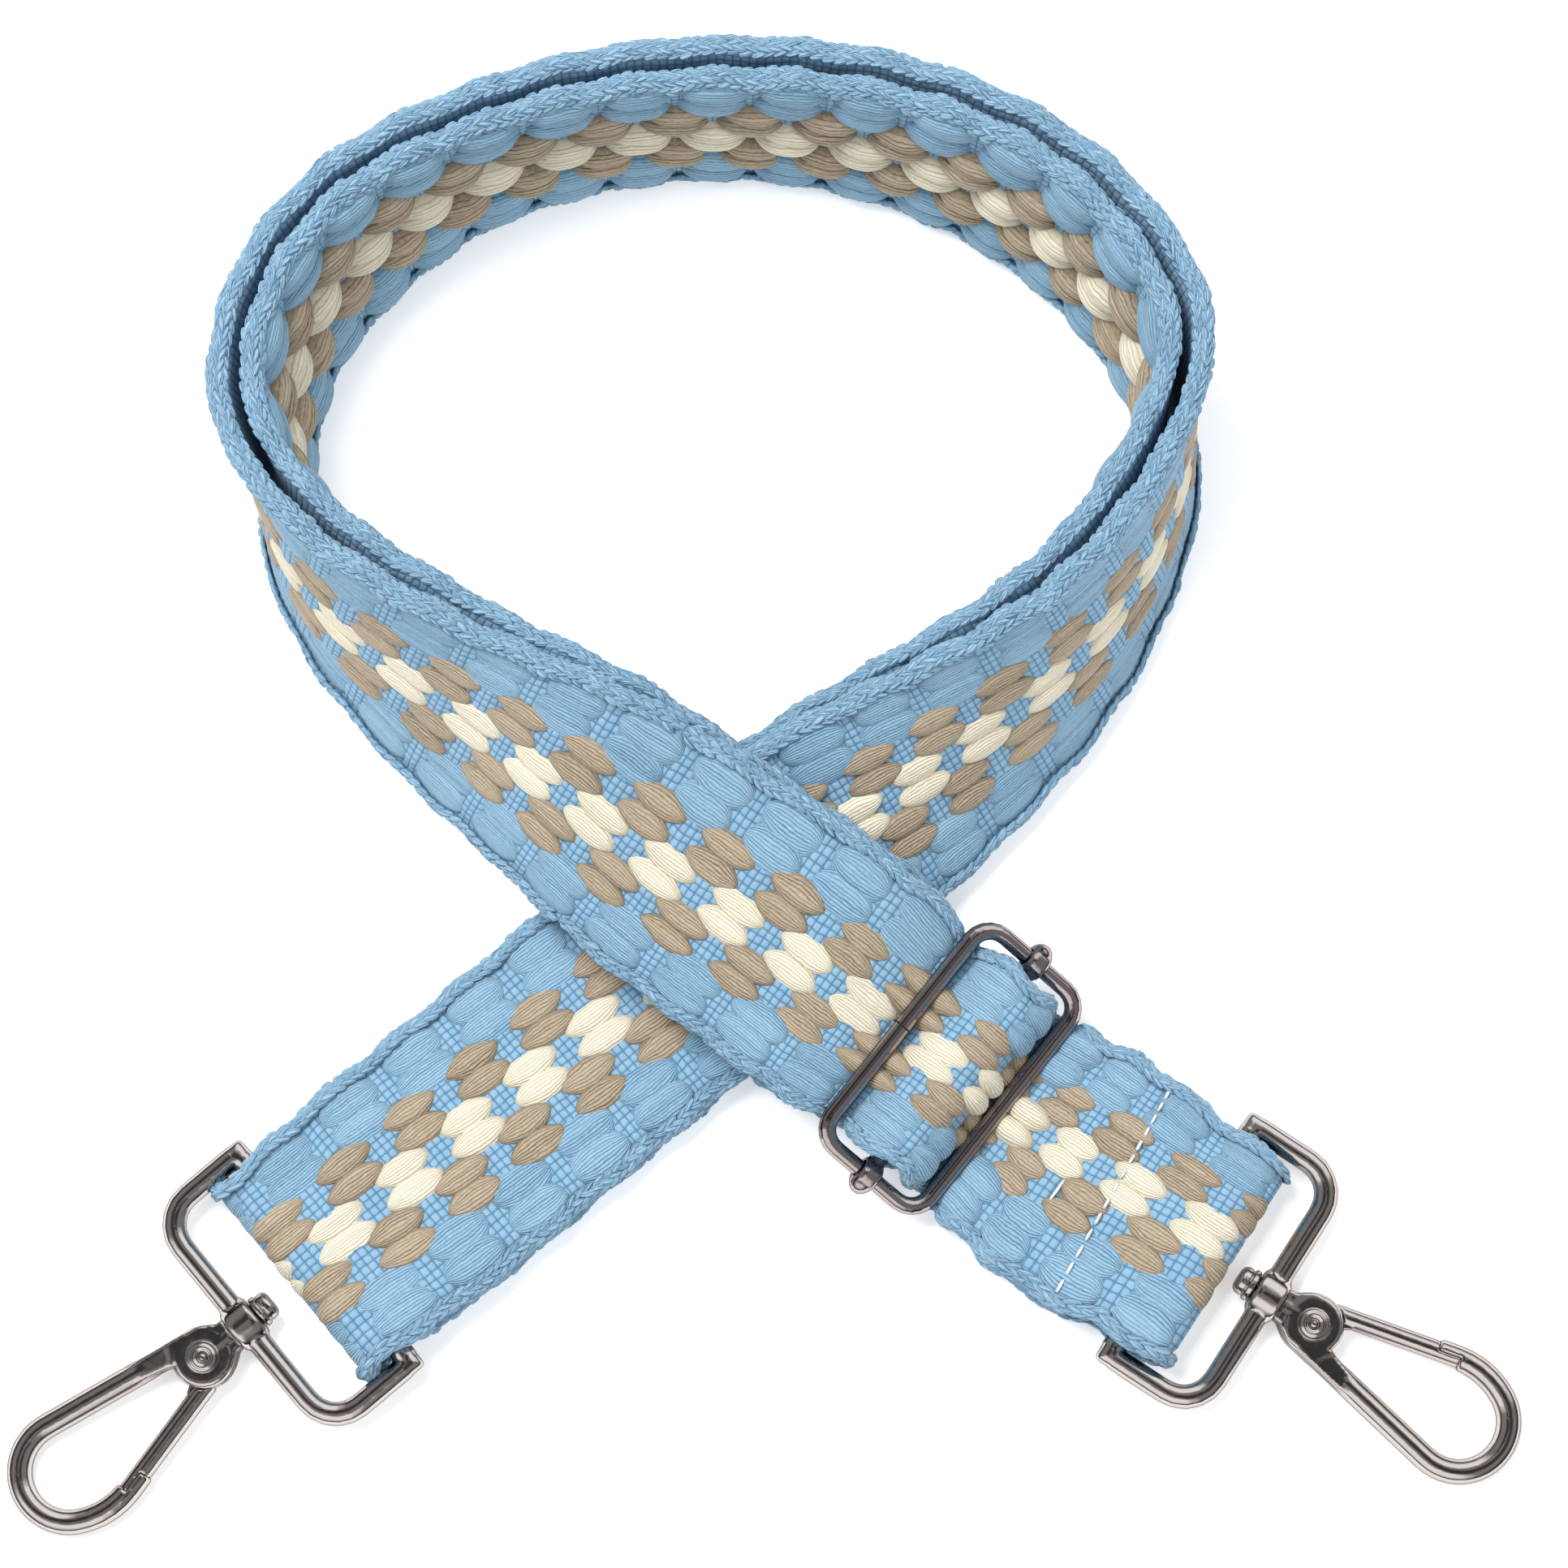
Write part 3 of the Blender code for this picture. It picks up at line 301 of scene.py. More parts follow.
def string(wheels):
    """Points and headings of a string pulled along wheels (x, z, radius), with fine steps round each wheel."""
    headings = []
    for (x0, z0, r0), (x1, z1, r1) in zip(wheels, wheels[1:]):
        between = math.atan2(z1 - z0, x1 - x0)
        headings.append(between - math.asin((r1 - r0) / math.hypot(x1 - x0, z1 - z0)))
    headings = [headings[0]] + headings + [headings[-1]]
    points = []
    for (x, z, radius), into, out in zip(wheels, headings, headings[1:]):
        bend = (out - into + math.pi) % math.tau - math.pi
        if radius > 0 and bend < -math.pi / 2:
            bend += math.tau
        steps = max(1, math.ceil(abs(bend) / math.radians(9))) if radius else 0
        for i in range(steps + 1):
            heading = into + bend * (i / steps if steps else 0.5)
            points.append((x + radius * math.sin(heading), z - radius * math.cos(heading), heading))
    return points


def leg_stations(points):
    """Sections along a string over the right leg, the good face on the string's right."""
    sections = []
    for past, height, heading in points:
        point, along, _, _, tilt = route_frame(LOOP_LENGTH + past)
        across = np.array([-along[1], along[0], 0])
        face = along * math.sin(heading) + np.array([0, 0, -math.cos(heading)])
        roll = np.array(Matrix.Rotation(tilt, 3, Vector(along)))
        point[2] = height
        sections.append((point, roll @ across, roll @ face, PRESSED_THICK, half_width(LOOP_LENGTH + past)))
    return sections


def slider_strings():
    """Sections of the outer layer through the slider, and of the inner layer round the loose bar."""
    left, middle, right = slider_points()
    frame_wheel = SLIDER_WIRE / 2 + CLEAR + PRESSED_THICK / 2
    pitch = PRESSED_THICK + CLEAR
    first = layer_station(RIGHT_END - HOOK_FLAP, 1)
    outer = layer_station(LOOP_LENGTH + ZONE, 1)
    inner = layer_station(LOOP_LENGTH + ZONE, -1)
    through = string([
        (RIGHT_LEG - HOOK_FLAP, first[0][2], 0),
        (*right, -frame_wheel),
        (*middle, BAR_WIRE / 2 + 2 * CLEAR + 1.5 * PRESSED_THICK),
        (*left, -frame_wheel),
        (ZONE, outer[0][2], 0),
    ])
    wrap = string([
        (ZONE, inner[0][2], 0),
        (*left, frame_wheel + 2 * pitch),
        (*middle, BAR_WIRE / 2 + CLEAR + PRESSED_THICK / 2),
        (*left, -frame_wheel - pitch),
        (ZONE, (outer[0][2] + inner[0][2]) / 2, 0),
    ])
    end = [a + (b - a) * TAIL_END_SHARE for a, b in zip(wrap[-1], wrap[-2])]
    room = SLIDER_LENGTH / 2 - SLIDER_WIRE / 2 - EYE_OUTER / 2 - CLEAR
    wrapped = [(*section[:4], room) for section in leg_stations(wrap[:-1] + [end])]
    return [first, *leg_stations(through)[1:-1], outer], [inner, *wrapped[1:]]


through_sections, slider_end_sections = slider_strings()
print("slider sections:", len(through_sections), len(slider_end_sections))

# %% [markdown]
# All of it is one length of webbing, so its stretches are joined into one path. A place on the webbing is then
# three numbers: how far along it is, how far across, and how high over its middle.

# %% Join the stretches into one path
PATH_STEP = 0.0007
# Keeps the places growing where two stretches meet.
JOIN_GAP = 1e-7
CROSSING = np.array([-0.00407, -0.01784, 0.0])


def resampled(sections):
    """Evenly spaced sections along a stretch, as columns: point, across, face, thickness, half width."""
    table = np.array([np.concatenate([p, a, f, [t, w]]) for p, a, f, t, w in sections])
    run = np.concatenate([[0], np.cumsum(np.linalg.norm(np.diff(table[:, :3], axis=0), axis=1))])
    places = np.linspace(0, run[-1], max(2, math.ceil(run[-1] / PATH_STEP)) + 1)
    table = np.array([np.interp(places, run, column) for column in table.T]).T
    for k in (3, 6):
        table[:, k : k + 3] /= np.linalg.norm(table[:, k : k + 3], axis=1)[:, None]
    return places, table


stretches = {}
path_places = []
path_tables = []
walked = 0.0
for stretch_name, stretch_sections in (
    ("hook_end", hook_end_sections),
    ("through", through_sections),
    ("loop", loop_sections),
    ("take_up", take_up_sections),
    ("slider_end", slider_end_sections),
):
    places, table = resampled(stretch_sections)
    stretches[stretch_name] = (walked, walked + places[-1])
    path_places.append(places + walked + (JOIN_GAP if walked else 0))
    path_tables.append(table)
    walked += places[-1]

path_at = np.concatenate(path_places)
path_table = np.concatenate(path_tables)
path_table[:, :3] += CROSSING
print("webbing", round(1000 * walked), "mm long")
for stretch_name, (low, high) in stretches.items():
    print(f"  {stretch_name}: {1000 * low:.1f} to {1000 * high:.1f} mm")


# %% [markdown]
# Cloth has slack where it turns round a ring: in the photograph both folds stand a little off the wire, the right
# one by more than 3 mm. And the weave is a little skewed at the crossing and at the right ring, where the webbing
# was pulled. So the folds are let out, and the pattern is shifted sideways there while the edges stay. The skew
# is listed as places along the webbing, each with its shift in millimetres.

# %% Let the folds out and skew the pattern
FOLD_SLACK = ((0.0, 0.055, 0.0036, -1), (0.600, 0.670, 0.0018, 1))
SLACK_REACH = 0.016
SKEW_MARGIN = 0.002
SKEW_AT = (
    (0.000, 3.2), (0.034, 3.2), (0.046, 2.3), (0.058, 1.3), (0.067, 0.5), (0.078, 0.3), (0.090, -0.7), (0.105, -1.0),
    (0.118, -1.5), (0.130, -1.8), (0.143, -2.0), (0.155, -2.0), (0.168, -1.2), (0.180, 0.4), (0.193, 0.2),
    (0.206, -2.2), (0.219, -3.0), (0.260, 0.0), (0.420, 0.0), (0.463, -3.0), (0.476, -1.4), (0.489, -0.5),
    (0.502, 0.25), (0.576, 0.25), (0.601, 0.8), (0.640, 0.8), (0.700, 0.0), (0.800, -1.5), (0.852, -2.2),
    (0.864, -1.9), (0.874, -1.25), (0.898, -1.25), (0.922, -0.5), (0.933, 0.5), (0.957, 1.0), (0.992, 1.25),
    (1.004, 0.0), (1.190, 0.0),
)
skew_places, skew_values = (np.array(column) for column in zip(*SKEW_AT))
for low, high, slack, way in FOLD_SLACK:
    inside = (path_at >= low) & (path_at <= high)
    leg = route_frame(RIGHT_END if way < 0 else -LEFT_LEG)[1] * (1 if way < 0 else -1)
    reach = path_table[:, :3] @ leg
    apex = path_at[inside][reach[inside].argmax()]
    share = np.exp(-(((path_at - apex) / SLACK_REACH) ** 2))
    path_table[:, :3] += (slack * share)[:, None] * leg
    print(f"fold at {1000 * apex:.1f} mm let out by {1000 * slack:.1f} mm")


def on_webbing(s, u, h):
    """World points of places on the webbing: along it, across it and over its middle, all in metres."""
    s, u, h = np.broadcast_arrays(np.asarray(s, float), np.asarray(u, float), np.asarray(h, float))
    shape = s.shape
    s, u, h = s.ravel(), u.ravel(), h.ravel()
    inner = np.clip(1 - (u / (WEB_WIDTH / 2 - SKEW_MARGIN)) ** 2, 0, 1)
    u = u + np.interp(s, skew_places, skew_values) * MM * inner
    columns = [np.interp(s, path_at, column) for column in path_table.T]
    point, across, face = (np.stack(columns[k : k + 3], axis=1) for k in (0, 3, 6))
    thick, half = columns[9], columns[10]
    over = point + across * (u * half / (WEB_WIDTH / 2))[:, None] + face * (h * thick / WEB_THICK)[:, None]
    return over.reshape(*shape, 3)


def place_of(distance, side):
    """The place along the webbing that a place on the route has, in the outer layer (1) or the inner one (-1)."""
    point = layer_station(distance, side)[0] + CROSSING
    return float(path_at[np.linalg.norm(path_table[:, :3] - point, axis=1).argmin()])


# %% [markdown]
# ## The weave's repeat
#
# Counted in the photograph, one repeat is about 12.4 mm. It is a little shorter where the webbing is bent inwards
# round the loop, and where it is gathered at the slider. So the count of repeats is tied to places along the
# webbing, and cream floats fall at whole counts, brown ones halfway between.

# %% Count the repeats along the webbing
REPEATS_AT = (
    (0.0, -3.0), (0.0366, 0), (0.0474, 1), (0.0578, 2), (0.067, 3), (0.0782, 4), (0.0902, 5), (0.1054, 6), (0.1178, 7),
    (0.1302, 8), (0.1554, 10), (0.1802, 12), (0.1930, 13), (0.2062, 14), (0.2194, 15), (0.4632, 35), (0.4760, 36),
    (0.5016, 38), (0.5248, 40), (0.5760, 44), (0.6008, 46), (0.6256, 48), (0.6384, 49), (0.8524, 66), (0.8744, 68),
    (0.8980, 70), (0.9216, 72), (0.9452, 74), (0.9692, 76), (0.9924, 78), (1.0036, 79), (1.19, 94.3),
)
repeat_places, repeat_counts = (np.array(column) for column in zip(*REPEATS_AT))


def count_at(s):
    """The count of repeats at a place along the webbing."""
    return np.interp(s, repeat_places, repeat_counts)


def at_count(count):
    """The place along the webbing where a count of repeats falls."""
    return np.interp(count, repeat_counts, repeat_places)


one_repeat = 1000 * float(at_count(20) - at_count(19))
print("repeats:", round(float(count_at(path_at[-1]) - count_at(0))), "of", round(one_repeat, 2), "mm")

# %% [markdown]
# ## Yarn
#
# The floats are bundles of soft spun yarn. Up close each bundle shows fine lines between its strands, a fibre
# grain along them, and a darker crease where it dives under its neighbours; the lines and the crease are painted
# shade. Images could carry that, but they don't scale, so a shader group works it out from each float's own
# coordinates: across the bundle, and along it.
# The whole part of the across coordinate numbers the float, so that each bundle gets a slightly different tone.

# %% Shader helpers


def node(tree, kind, inputs=(), **settings):
    """A shader node with its settings and its input values or links."""
    made = tree.nodes.new(kind)
    for key, value in settings.items():
        setattr(made, key, value)
    for socket, value in dict(inputs).items():
        if isinstance(value, bpy.types.NodeSocket):
            tree.links.new(value, made.inputs[socket])
        else:
            made.inputs[socket].default_value = value
    return made


def maths(tree, operation, *values):
    """A math node's result."""
    return node(tree, "ShaderNodeMath", enumerate(values), operation=operation).outputs[0]


def mix(tree, share, first, second):
    """Two colours mixed."""
    return node(tree, "ShaderNodeMix", {0: share, 6: first, 7: second}, data_type="RGBA").outputs[2]


def new_group(name, inputs, outputs):
    """A shader group with named sockets, and its input and output nodes."""
    tree = bpy.data.node_groups.new(name, "ShaderNodeTree")
    for socket, kind, value in inputs:
        made = tree.interface.new_socket(socket, in_out="INPUT", socket_type=kind)
        if value is not None:
            made.default_value = value
    for socket, kind in outputs:
        tree.interface.new_socket(socket, in_out="OUTPUT", socket_type=kind)
    return tree, tree.nodes.new("NodeGroupInput"), tree.nodes.new("NodeGroupOutput")


def spread(value, low, high, tree, to_low=0.0, to_high=1.0):
    """A value spread from one range to another and held inside it."""
    made = node(tree, "ShaderNodeMapRange", {0: value, 1: low, 2: high, 3: to_low, 4: to_high})
    return made.outputs[0]


def product(tree, *values):
    """The product of two or more values."""
    result = values[0]
    for value in values[1:]:
        result = maths(tree, "MULTIPLY", result, value)
    return result


def hump_of(tree, share):
    """A hump over a share: 0 at both of its ends and 1 in its middle."""
    return product(tree, share, maths(tree, "SUBTRACT", 1.0, share), 4.0)


def vector_of(tree, *values):
    """A vector from its parts."""
    return node(tree, "ShaderNodeCombineXYZ", enumerate(values)).outputs[0]


def noise(tree, at, scale, detail, roughness=0.5):
    """Soft noise at a place."""
    inputs = {"Vector": at, "Scale": scale, "Detail": detail, "Roughness": roughness}
    return node(tree, "ShaderNodeTexNoise", inputs).outputs[0]


def tone_of(tree, *values):
    """A tone that is the same wherever these values are."""
    return node(tree, "ShaderNodeTexWhiteNoise", {"Vector": vector_of(tree, *values)}, noise_dimensions="3D").outputs[0]


# %% Yarn shader group


def build_yarn_group():
    """Painted shade in the strand lines and the crease, and the fibre grain, of one bundle of yarn."""
    tree, given, result = new_group(
        "yarn_bundle",
        [
            ("Yarn Coordinates", "NodeSocketVector", None), ("Light", "NodeSocketColor", (0.8, 0.8, 0.8, 1)),
            ("Dark", "NodeSocketColor", (0.2, 0.2, 0.2, 1)), ("Strands", "NodeSocketFloat", 9.0),
            ("Length", "NodeSocketFloat", 10.0), ("Crease Shade", "NodeSocketFloat", 0.6),
        ],
        [("Color", "NodeSocketColor"), ("Height", "NodeSocketFloat"), ("Roughness", "NodeSocketFloat")],
    )
    parts = node(tree, "ShaderNodeSeparateXYZ", {0: given.outputs["Yarn Coordinates"]})
    number = maths(tree, "FLOOR", parts.outputs[0])
    across = maths(tree, "FRACT", parts.outputs[0])
    along = parts.outputs[1]
    along_mm = product(tree, along, given.outputs["Length"])

    wander_at = vector_of(tree, product(tree, across, 2.5), product(tree, along_mm, 0.28), number)
    shift = maths(tree, "MULTIPLY_ADD", noise(tree, wander_at, 1.0, 2.0), 1.6, -0.8)
    strand = maths(tree, "MULTIPLY_ADD", across, given.outputs["Strands"], shift)
    hump = hump_of(tree, maths(tree, "FRACT", strand))
    strand_tone = tone_of(tree, maths(tree, "FLOOR", strand), number, 3.0)
    fibre_at = vector_of(tree, product(tree, strand, 2.2), product(tree, along_mm, 0.8), number)
    fibre = noise(tree, fibre_at, 1.6, 4.0, 0.6)

    depth = spread(strand_tone, 0.2, 1.0, tree, 0.3, 1.0)
    # Painted shade: dark lines in the grooves between strands, lighter on each strand's crown.
    line = product(tree, maths(tree, "SUBTRACT", 1.0, spread(hump, 0.0, 0.85, tree)), depth)
    body = product(tree, hump_of(tree, across), spread(hump_of(tree, along), 0.0, 0.45, tree))
    # Painted shade: the crease darkens the bundle where it dives under its neighbours.
    crease_shade = maths(tree, "SUBTRACT", 1.0, spread(body, 0.0, 0.75, tree))
    crease_shade = product(tree, crease_shade, given.outputs["Crease Shade"])

    dark = maths(tree, "MAXIMUM", product(tree, line, 0.90), crease_shade)
    for value, low, high, to_low, to_high in (
        (fibre, 0.35, 0.7, -0.12, 0.30),
        (tone_of(tree, number, 7.0), 0.0, 1.0, -0.05, 0.09),
        (strand_tone, 0.0, 1.0, -0.04, 0.08),
    ):
        dark = maths(tree, "ADD", dark, spread(value, low, high, tree, to_low, to_high))
    color = mix(tree, spread(dark, 0.0, 1.0, tree), given.outputs["Light"], given.outputs["Dark"])
    height = maths(tree, "MULTIPLY_ADD", maths(tree, "POWER", hump, 0.6), 0.7, product(tree, fibre, 0.35))
    tree.links.new(color, result.inputs["Color"])
    tree.links.new(height, result.inputs["Height"])
    tree.links.new(spread(fibre, 0.3, 0.7, tree, 0.78, 0.95), result.inputs["Roughness"])
    return tree


yarn_group = build_yarn_group()
print("yarn group:", len(yarn_group.nodes), "nodes")

# %% [markdown]
# The blue, the taupe and the cream yarn differ in colour, in how many strands a bundle shows and in how dark the
# painted shade of its crease is. All are matt with a faint sheen from loose fibres.

# %% Yarn materials
YARN_UV = "Yarn"


def grouped_material(name, shader_group, values, strength, distance):
    """A material with a group for its colour, and a bump for its relief: the material, its shader and the group."""
    made = bpy.data.materials.new(name)
    made.use_nodes = True
    tree = made.node_tree
    shader = tree.nodes["Principled BSDF"]
    group = node(tree, "ShaderNodeGroup", node_tree=shader_group)
    for socket, value in values.items():
        group.inputs[socket].default_value = value
    bump = node(tree, "ShaderNodeBump", {"Strength": strength, "Distance": distance, "Height": group.outputs["Height"]})
    tree.links.new(group.outputs["Color"], shader.inputs["Base Color"])
    tree.links.new(bump.outputs[0], shader.inputs["Normal"])
    return made, shader, group


def set_values(shader, values):
    """Constant values on a shader's own sockets."""
    for socket, value in values.items():
        shader.inputs[socket].default_value = value


def yarn_material(name, light, dark, strands, crease_shade, sheen, length=10.0):
    """A matt yarn in one colour."""
    values = {"Light": (*light, 1), "Dark": (*dark, 1), "Strands": strands, "Length": length, "Crease Shade": crease_shade}
    made, shader, group = grouped_material(name, yarn_group, values, strength=0.75, distance=0.00035)
    tree = made.node_tree
    place = node(tree, "ShaderNodeUVMap", uv_map=YARN_UV)
    tree.links.new(place.outputs[0], group.inputs["Yarn Coordinates"])
    tree.links.new(group.outputs["Roughness"], shader.inputs["Roughness"])
    set_values(shader, {"Specular IOR Level": 0.2, "Sheen Weight": sheen, "Sheen Roughness": 0.5})
    return made


# Each yarn's fifth value sets how dark its painted crease shade is.
blue_yarn = yarn_material("blue_yarn", (0.280, 0.455, 0.597), (0.035, 0.130, 0.235), 14, 0.45, 0.12)
taupe_yarn = yarn_material("taupe_yarn", (0.455, 0.373, 0.268), (0.105, 0.072, 0.043), 9, 0.60, 0.08)
cream_yarn = yarn_material("cream_yarn", (0.785, 0.733, 0.588), (0.520, 0.445, 0.300), 9, 0.45, 0.05)
edge_yarn = yarn_material("edge_yarn", (0.285, 0.451, 0.589), (0.030, 0.115, 0.215), 3, 1.00, 0.12, 2.6)
print("yarns:", blue_yarn.name, taupe_yarn.name, cream_yarn.name, edge_yarn.name)

# %% [markdown]
# ## The ground weave
#
# Under the floats lies a tight blue plain weave. It shows between the floats as small squares of four or five
# threads. Its threads are about 1.3 mm apart, so they are drawn in the shader, with painted shade between them
# and lighter crowns, over a band that carries the webbing's real thickness, its humps between the floats and its
# wavy edge.

# %% Plain weave group and material


def build_ground_group():
    """Threads of a plain weave, over and under, with painted shade between them, from millimetres across and along."""
    tree, given, result = new_group(
        "plain_weave",
        [
            ("Coordinates", "NodeSocketVector", None), ("Light", "NodeSocketColor", (0.8, 0.8, 0.8, 1)),
            ("Dark", "NodeSocketColor", (0.2, 0.2, 0.2, 1)), ("Pitch", "NodeSocketFloat", 1.1),
        ],
        [("Color", "NodeSocketColor"), ("Height", "NodeSocketFloat")],
    )
    parts = node(tree, "ShaderNodeSeparateXYZ", {0: given.outputs["Coordinates"]})
    jog = maths(tree, "MULTIPLY_ADD", noise(tree, given.outputs["Coordinates"], 0.35, 1.0), 0.7, -0.35)
    x = maths(tree, "DIVIDE", maths(tree, "ADD", parts.outputs[0], jog), given.outputs["Pitch"])
    y = maths(tree, "DIVIDE", parts.outputs[1], product(tree, given.outputs["Pitch"], 0.95))
    hump_x, hump_y = (maths(tree, "POWER", hump_of(tree, maths(tree, "FRACT", value)), 0.55) for value in (x, y))
    pillow = product(tree, hump_x, hump_y)
    fibre_at = vector_of(tree, product(tree, parts.outputs[0], 7.0), product(tree, parts.outputs[1], 2.5))
    fibre = noise(tree, fibre_at, 1.0, 3.0)
    tone = tone_of(tree, maths(tree, "FLOOR", x), maths(tree, "FLOOR", y))
    # Painted shade: darker between the threads' humps, lighter on their crowns.
    dark = maths(tree, "SUBTRACT", 1.0, spread(pillow, 0.05, 0.75, tree))
    dark = maths(tree, "ADD", dark, spread(tone, 0.0, 1.0, tree, -0.06, 0.16))
    dark = maths(tree, "ADD", dark, spread(fibre, 0.35, 0.65, tree, -0.05, 0.12))
    color = mix(tree, spread(dark, 0.0, 1.0, tree), given.outputs["Light"], given.outputs["Dark"])
    tree.links.new(color, result.inputs["Color"])
    tree.links.new(maths(tree, "MULTIPLY_ADD", fibre, 0.15, pillow), result.inputs["Height"])
    return tree


ground_group = build_ground_group()
GROUND_LOOK = {"Light": (0.254, 0.414, 0.555, 1), "Dark": (0.075, 0.195, 0.325, 1), "Pitch": 1.32}
ground_weave, shader, group = grouped_material(
    "ground_weave", ground_group, GROUND_LOOK, strength=0.6, distance=0.0004
)
tree = ground_weave.node_tree
tree.links.new(node(tree, "ShaderNodeUVMap", uv_map=YARN_UV).outputs[0], group.inputs["Coordinates"])
set_values(shader, {"Roughness": 0.88, "Specular IOR Level": 0.2, "Sheen Weight": 0.1})
print("ground group:", len(ground_group.nodes), "nodes")

# %% [markdown]
# Everything woven is laid on the webbing as rows and columns of points: a float is a small tube, the ground a long
# one, and a chain stitch a small open patch. Curves with a bevel could make the tubes, but their sections would
# stay round. So one helper turns any such grid into a mesh, with the coordinates that the yarn's shader needs, and
# another closes the ends of a tube.

# %% Meshes laid on the webbing


def grid_object(name, points, uvs, material, wrap=False):
    """One object from grids of points (grid, row, column, xyz), each grid open, or closed round its columns."""
    grids, rows, columns, _ = points.shape
    index = np.arange(grids * rows * columns).reshape(grids, rows, columns)
    after = np.roll(index, -1, axis=2)
    if not wrap:
        after, index = after[:, :, :-1], index[:, :, :-1]
    quads = np.stack([index[:, :-1], index[:, 1:], after[:, 1:], after[:, :-1]], axis=-1).reshape(-1, 4)
    flat_uvs = uvs.reshape(-1, 2)
    loop_uvs = flat_uvs[quads]
    if wrap:
        closing = np.zeros(quads.shape[0], bool)
        closing.reshape(grids, rows - 1, columns)[:, :, -1] = True
        last = loop_uvs[closing, :2, 0]
        step = last - flat_uvs[quads[closing][:, :2] - 1][:, :, 0]
        loop_uvs[closing, 2:, 0] = last[:, ::-1] + step[:, ::-1]
    mesh = bpy.data.meshes.new(name)
    mesh.vertices.add(points.size // 3)
    mesh.vertices.foreach_set("co", points.reshape(-1).astype(np.float32))
    mesh.loops.add(quads.size)
    mesh.loops.foreach_set("vertex_index", quads.reshape(-1).astype(np.int32))
    mesh.polygons.add(len(quads))
    mesh.polygons.foreach_set("loop_start", np.arange(0, quads.size, 4, dtype=np.int32))
    layer_uv = mesh.uv_layers.new(name=YARN_UV)
    layer_uv.uv.foreach_set("vector", loop_uvs.reshape(-1).astype(np.float32))
    mesh.update(calc_edges=True)
    mesh.shade_smooth()
    mesh.materials.append(material)
    return add_to_scene(name, mesh)


def capped(made):
    """The open ends of an object's tubes closed with faces, sharp at the rim so that the tube's shading runs on."""
    bm = bmesh.new()
    bm.from_mesh(made.data)
    caps = bmesh.ops.holes_fill(bm, edges=[edge for edge in bm.edges if edge.is_boundary], sides=0)["faces"]
    bmesh.ops.recalc_face_normals(bm, faces=bm.faces[:])
    for face in caps:
        for edge in face.edges:
            edge.smooth = False
    bm.to_mesh(made.data)
    bm.free()
    return made


# %% [markdown]
# The webbing is made in seven runs, because the slider moves along it. A run either rides on one body or lies
# between two of them, where it is left in place:
#
# - the hook end, with the flap sewn round the right ring, lies still
# - the run from there to the slider lies between the two
# - the run under and over the slider's wires rides with the slider
# - the run over the crossing lies between the slider and the loop
# - the loop and the left leg lie still
# - the inner layer's last run, the take-up, lies between the loop and the slider
# - the end wrapped round the loose bar rides with that bar

# %% Split the webbing into runs
HOOK_RUN_PAST, SLIDER_START_PAST, SLIDER_STOP_PAST, CROSSING_STOP_PAST = 0.074, 0.0520, 0.0292, -0.020
hook_run_start = place_of(LOOP_LENGTH + HOOK_RUN_PAST, 1)


def nearest_place(past, low, high):
    """The place on one stretch of the webbing that is a given distance past the crossing, seen from above."""
    plan = route_frame(LOOP_LENGTH + past)[0]
    chosen = (path_at >= low) & (path_at <= high)
    away = np.linalg.norm((path_table[:, :2] - (plan + CROSSING)[:2]), axis=1)
    away[~chosen] = 1
    return float(path_at[away.argmin()])


slider_start = nearest_place(SLIDER_START_PAST, *stretches["through"])
slider_stop = nearest_place(SLIDER_STOP_PAST, *stretches["through"])
crossing_stop = place_of(LOOP_LENGTH + CROSSING_STOP_PAST, 1)
loop_stop = stretches["take_up"][0]
take_up_stop = stretches["take_up"][1]
end = float(path_at[-1])
RUNS = (
    ("hook_end", 0.0, hook_run_start, "webbing", None),
    ("hook_run", hook_run_start, slider_start, "webbing", "slider_frame"),
    ("slider_run", slider_start, slider_stop, "slider_frame", None),
    ("crossing_run", slider_stop, crossing_stop, "slider_frame", "webbing"),
    ("loop", crossing_stop, loop_stop, "webbing", None),
    ("take_up", loop_stop, take_up_stop, "webbing", "slider_frame"),
    ("slider_end", take_up_stop, end, "slider_bar", None),
)
for run_name, low, high, *_ in RUNS:
    print(f"  {run_name}: {1000 * low:.1f} to {1000 * high:.1f} mm")


def follow(piece, run):
    """The piece rides on its run's body, or is left in place between the run's two bodies."""
    _, low, high, first, second = run
    if second is None:
        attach(piece, first)
    else:
        ends = [on_webbing(place, 0, 0) for place in (low, high)]
        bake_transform(piece)
    return piece


# %% [markdown]
# The ground is a closed band. Its top sits below the floats' crowns, rises in humps where the plain weave shows,
# and is rounded and full at the edges. The edge bulges at each pair of blue floats and draws in between them.

# %% Build the ground
HALF = WEB_WIDTH / 2
EDGE_WAVE = 0.00060
# The wave's share on straight webbing, what a full bend adds, and the share that the right ring's fold takes.
WAVE_STRAIGHT, WAVE_BENT, WAVE_FOLDED = 0.45, 0.70, 0.8
RIGHT_FOLD = 0.0299
FOLD_DRAW = 0.00075
FOLD_DRAW_REACH = 0.008
EDGE_INSET = 0.0002
EDGE_TUBE = 0.00150
GROUND_TOP = 0.00060
GROUND_LOW = -0.00150
GROUND_STEP = 0.0009
HUMP = 0.00050
HUMP_REACH = 0.16
COLUMN = 0.00655
TOP_HALF = 2.62 * COLUMN
TOP_COLUMNS = 26
EDGE_COLUMNS = 9
EDGE_TURN = (62, -90)
BOTTOM_COLUMNS = 4
BOTTOM_SHARE = 0.8
SIDE_GIRTH = (0.001, 0.0055)
BOTTOM_GIRTH = (0.025, 0.05)
BEND_WINDOW = 15
FULL_BEND = 0.085

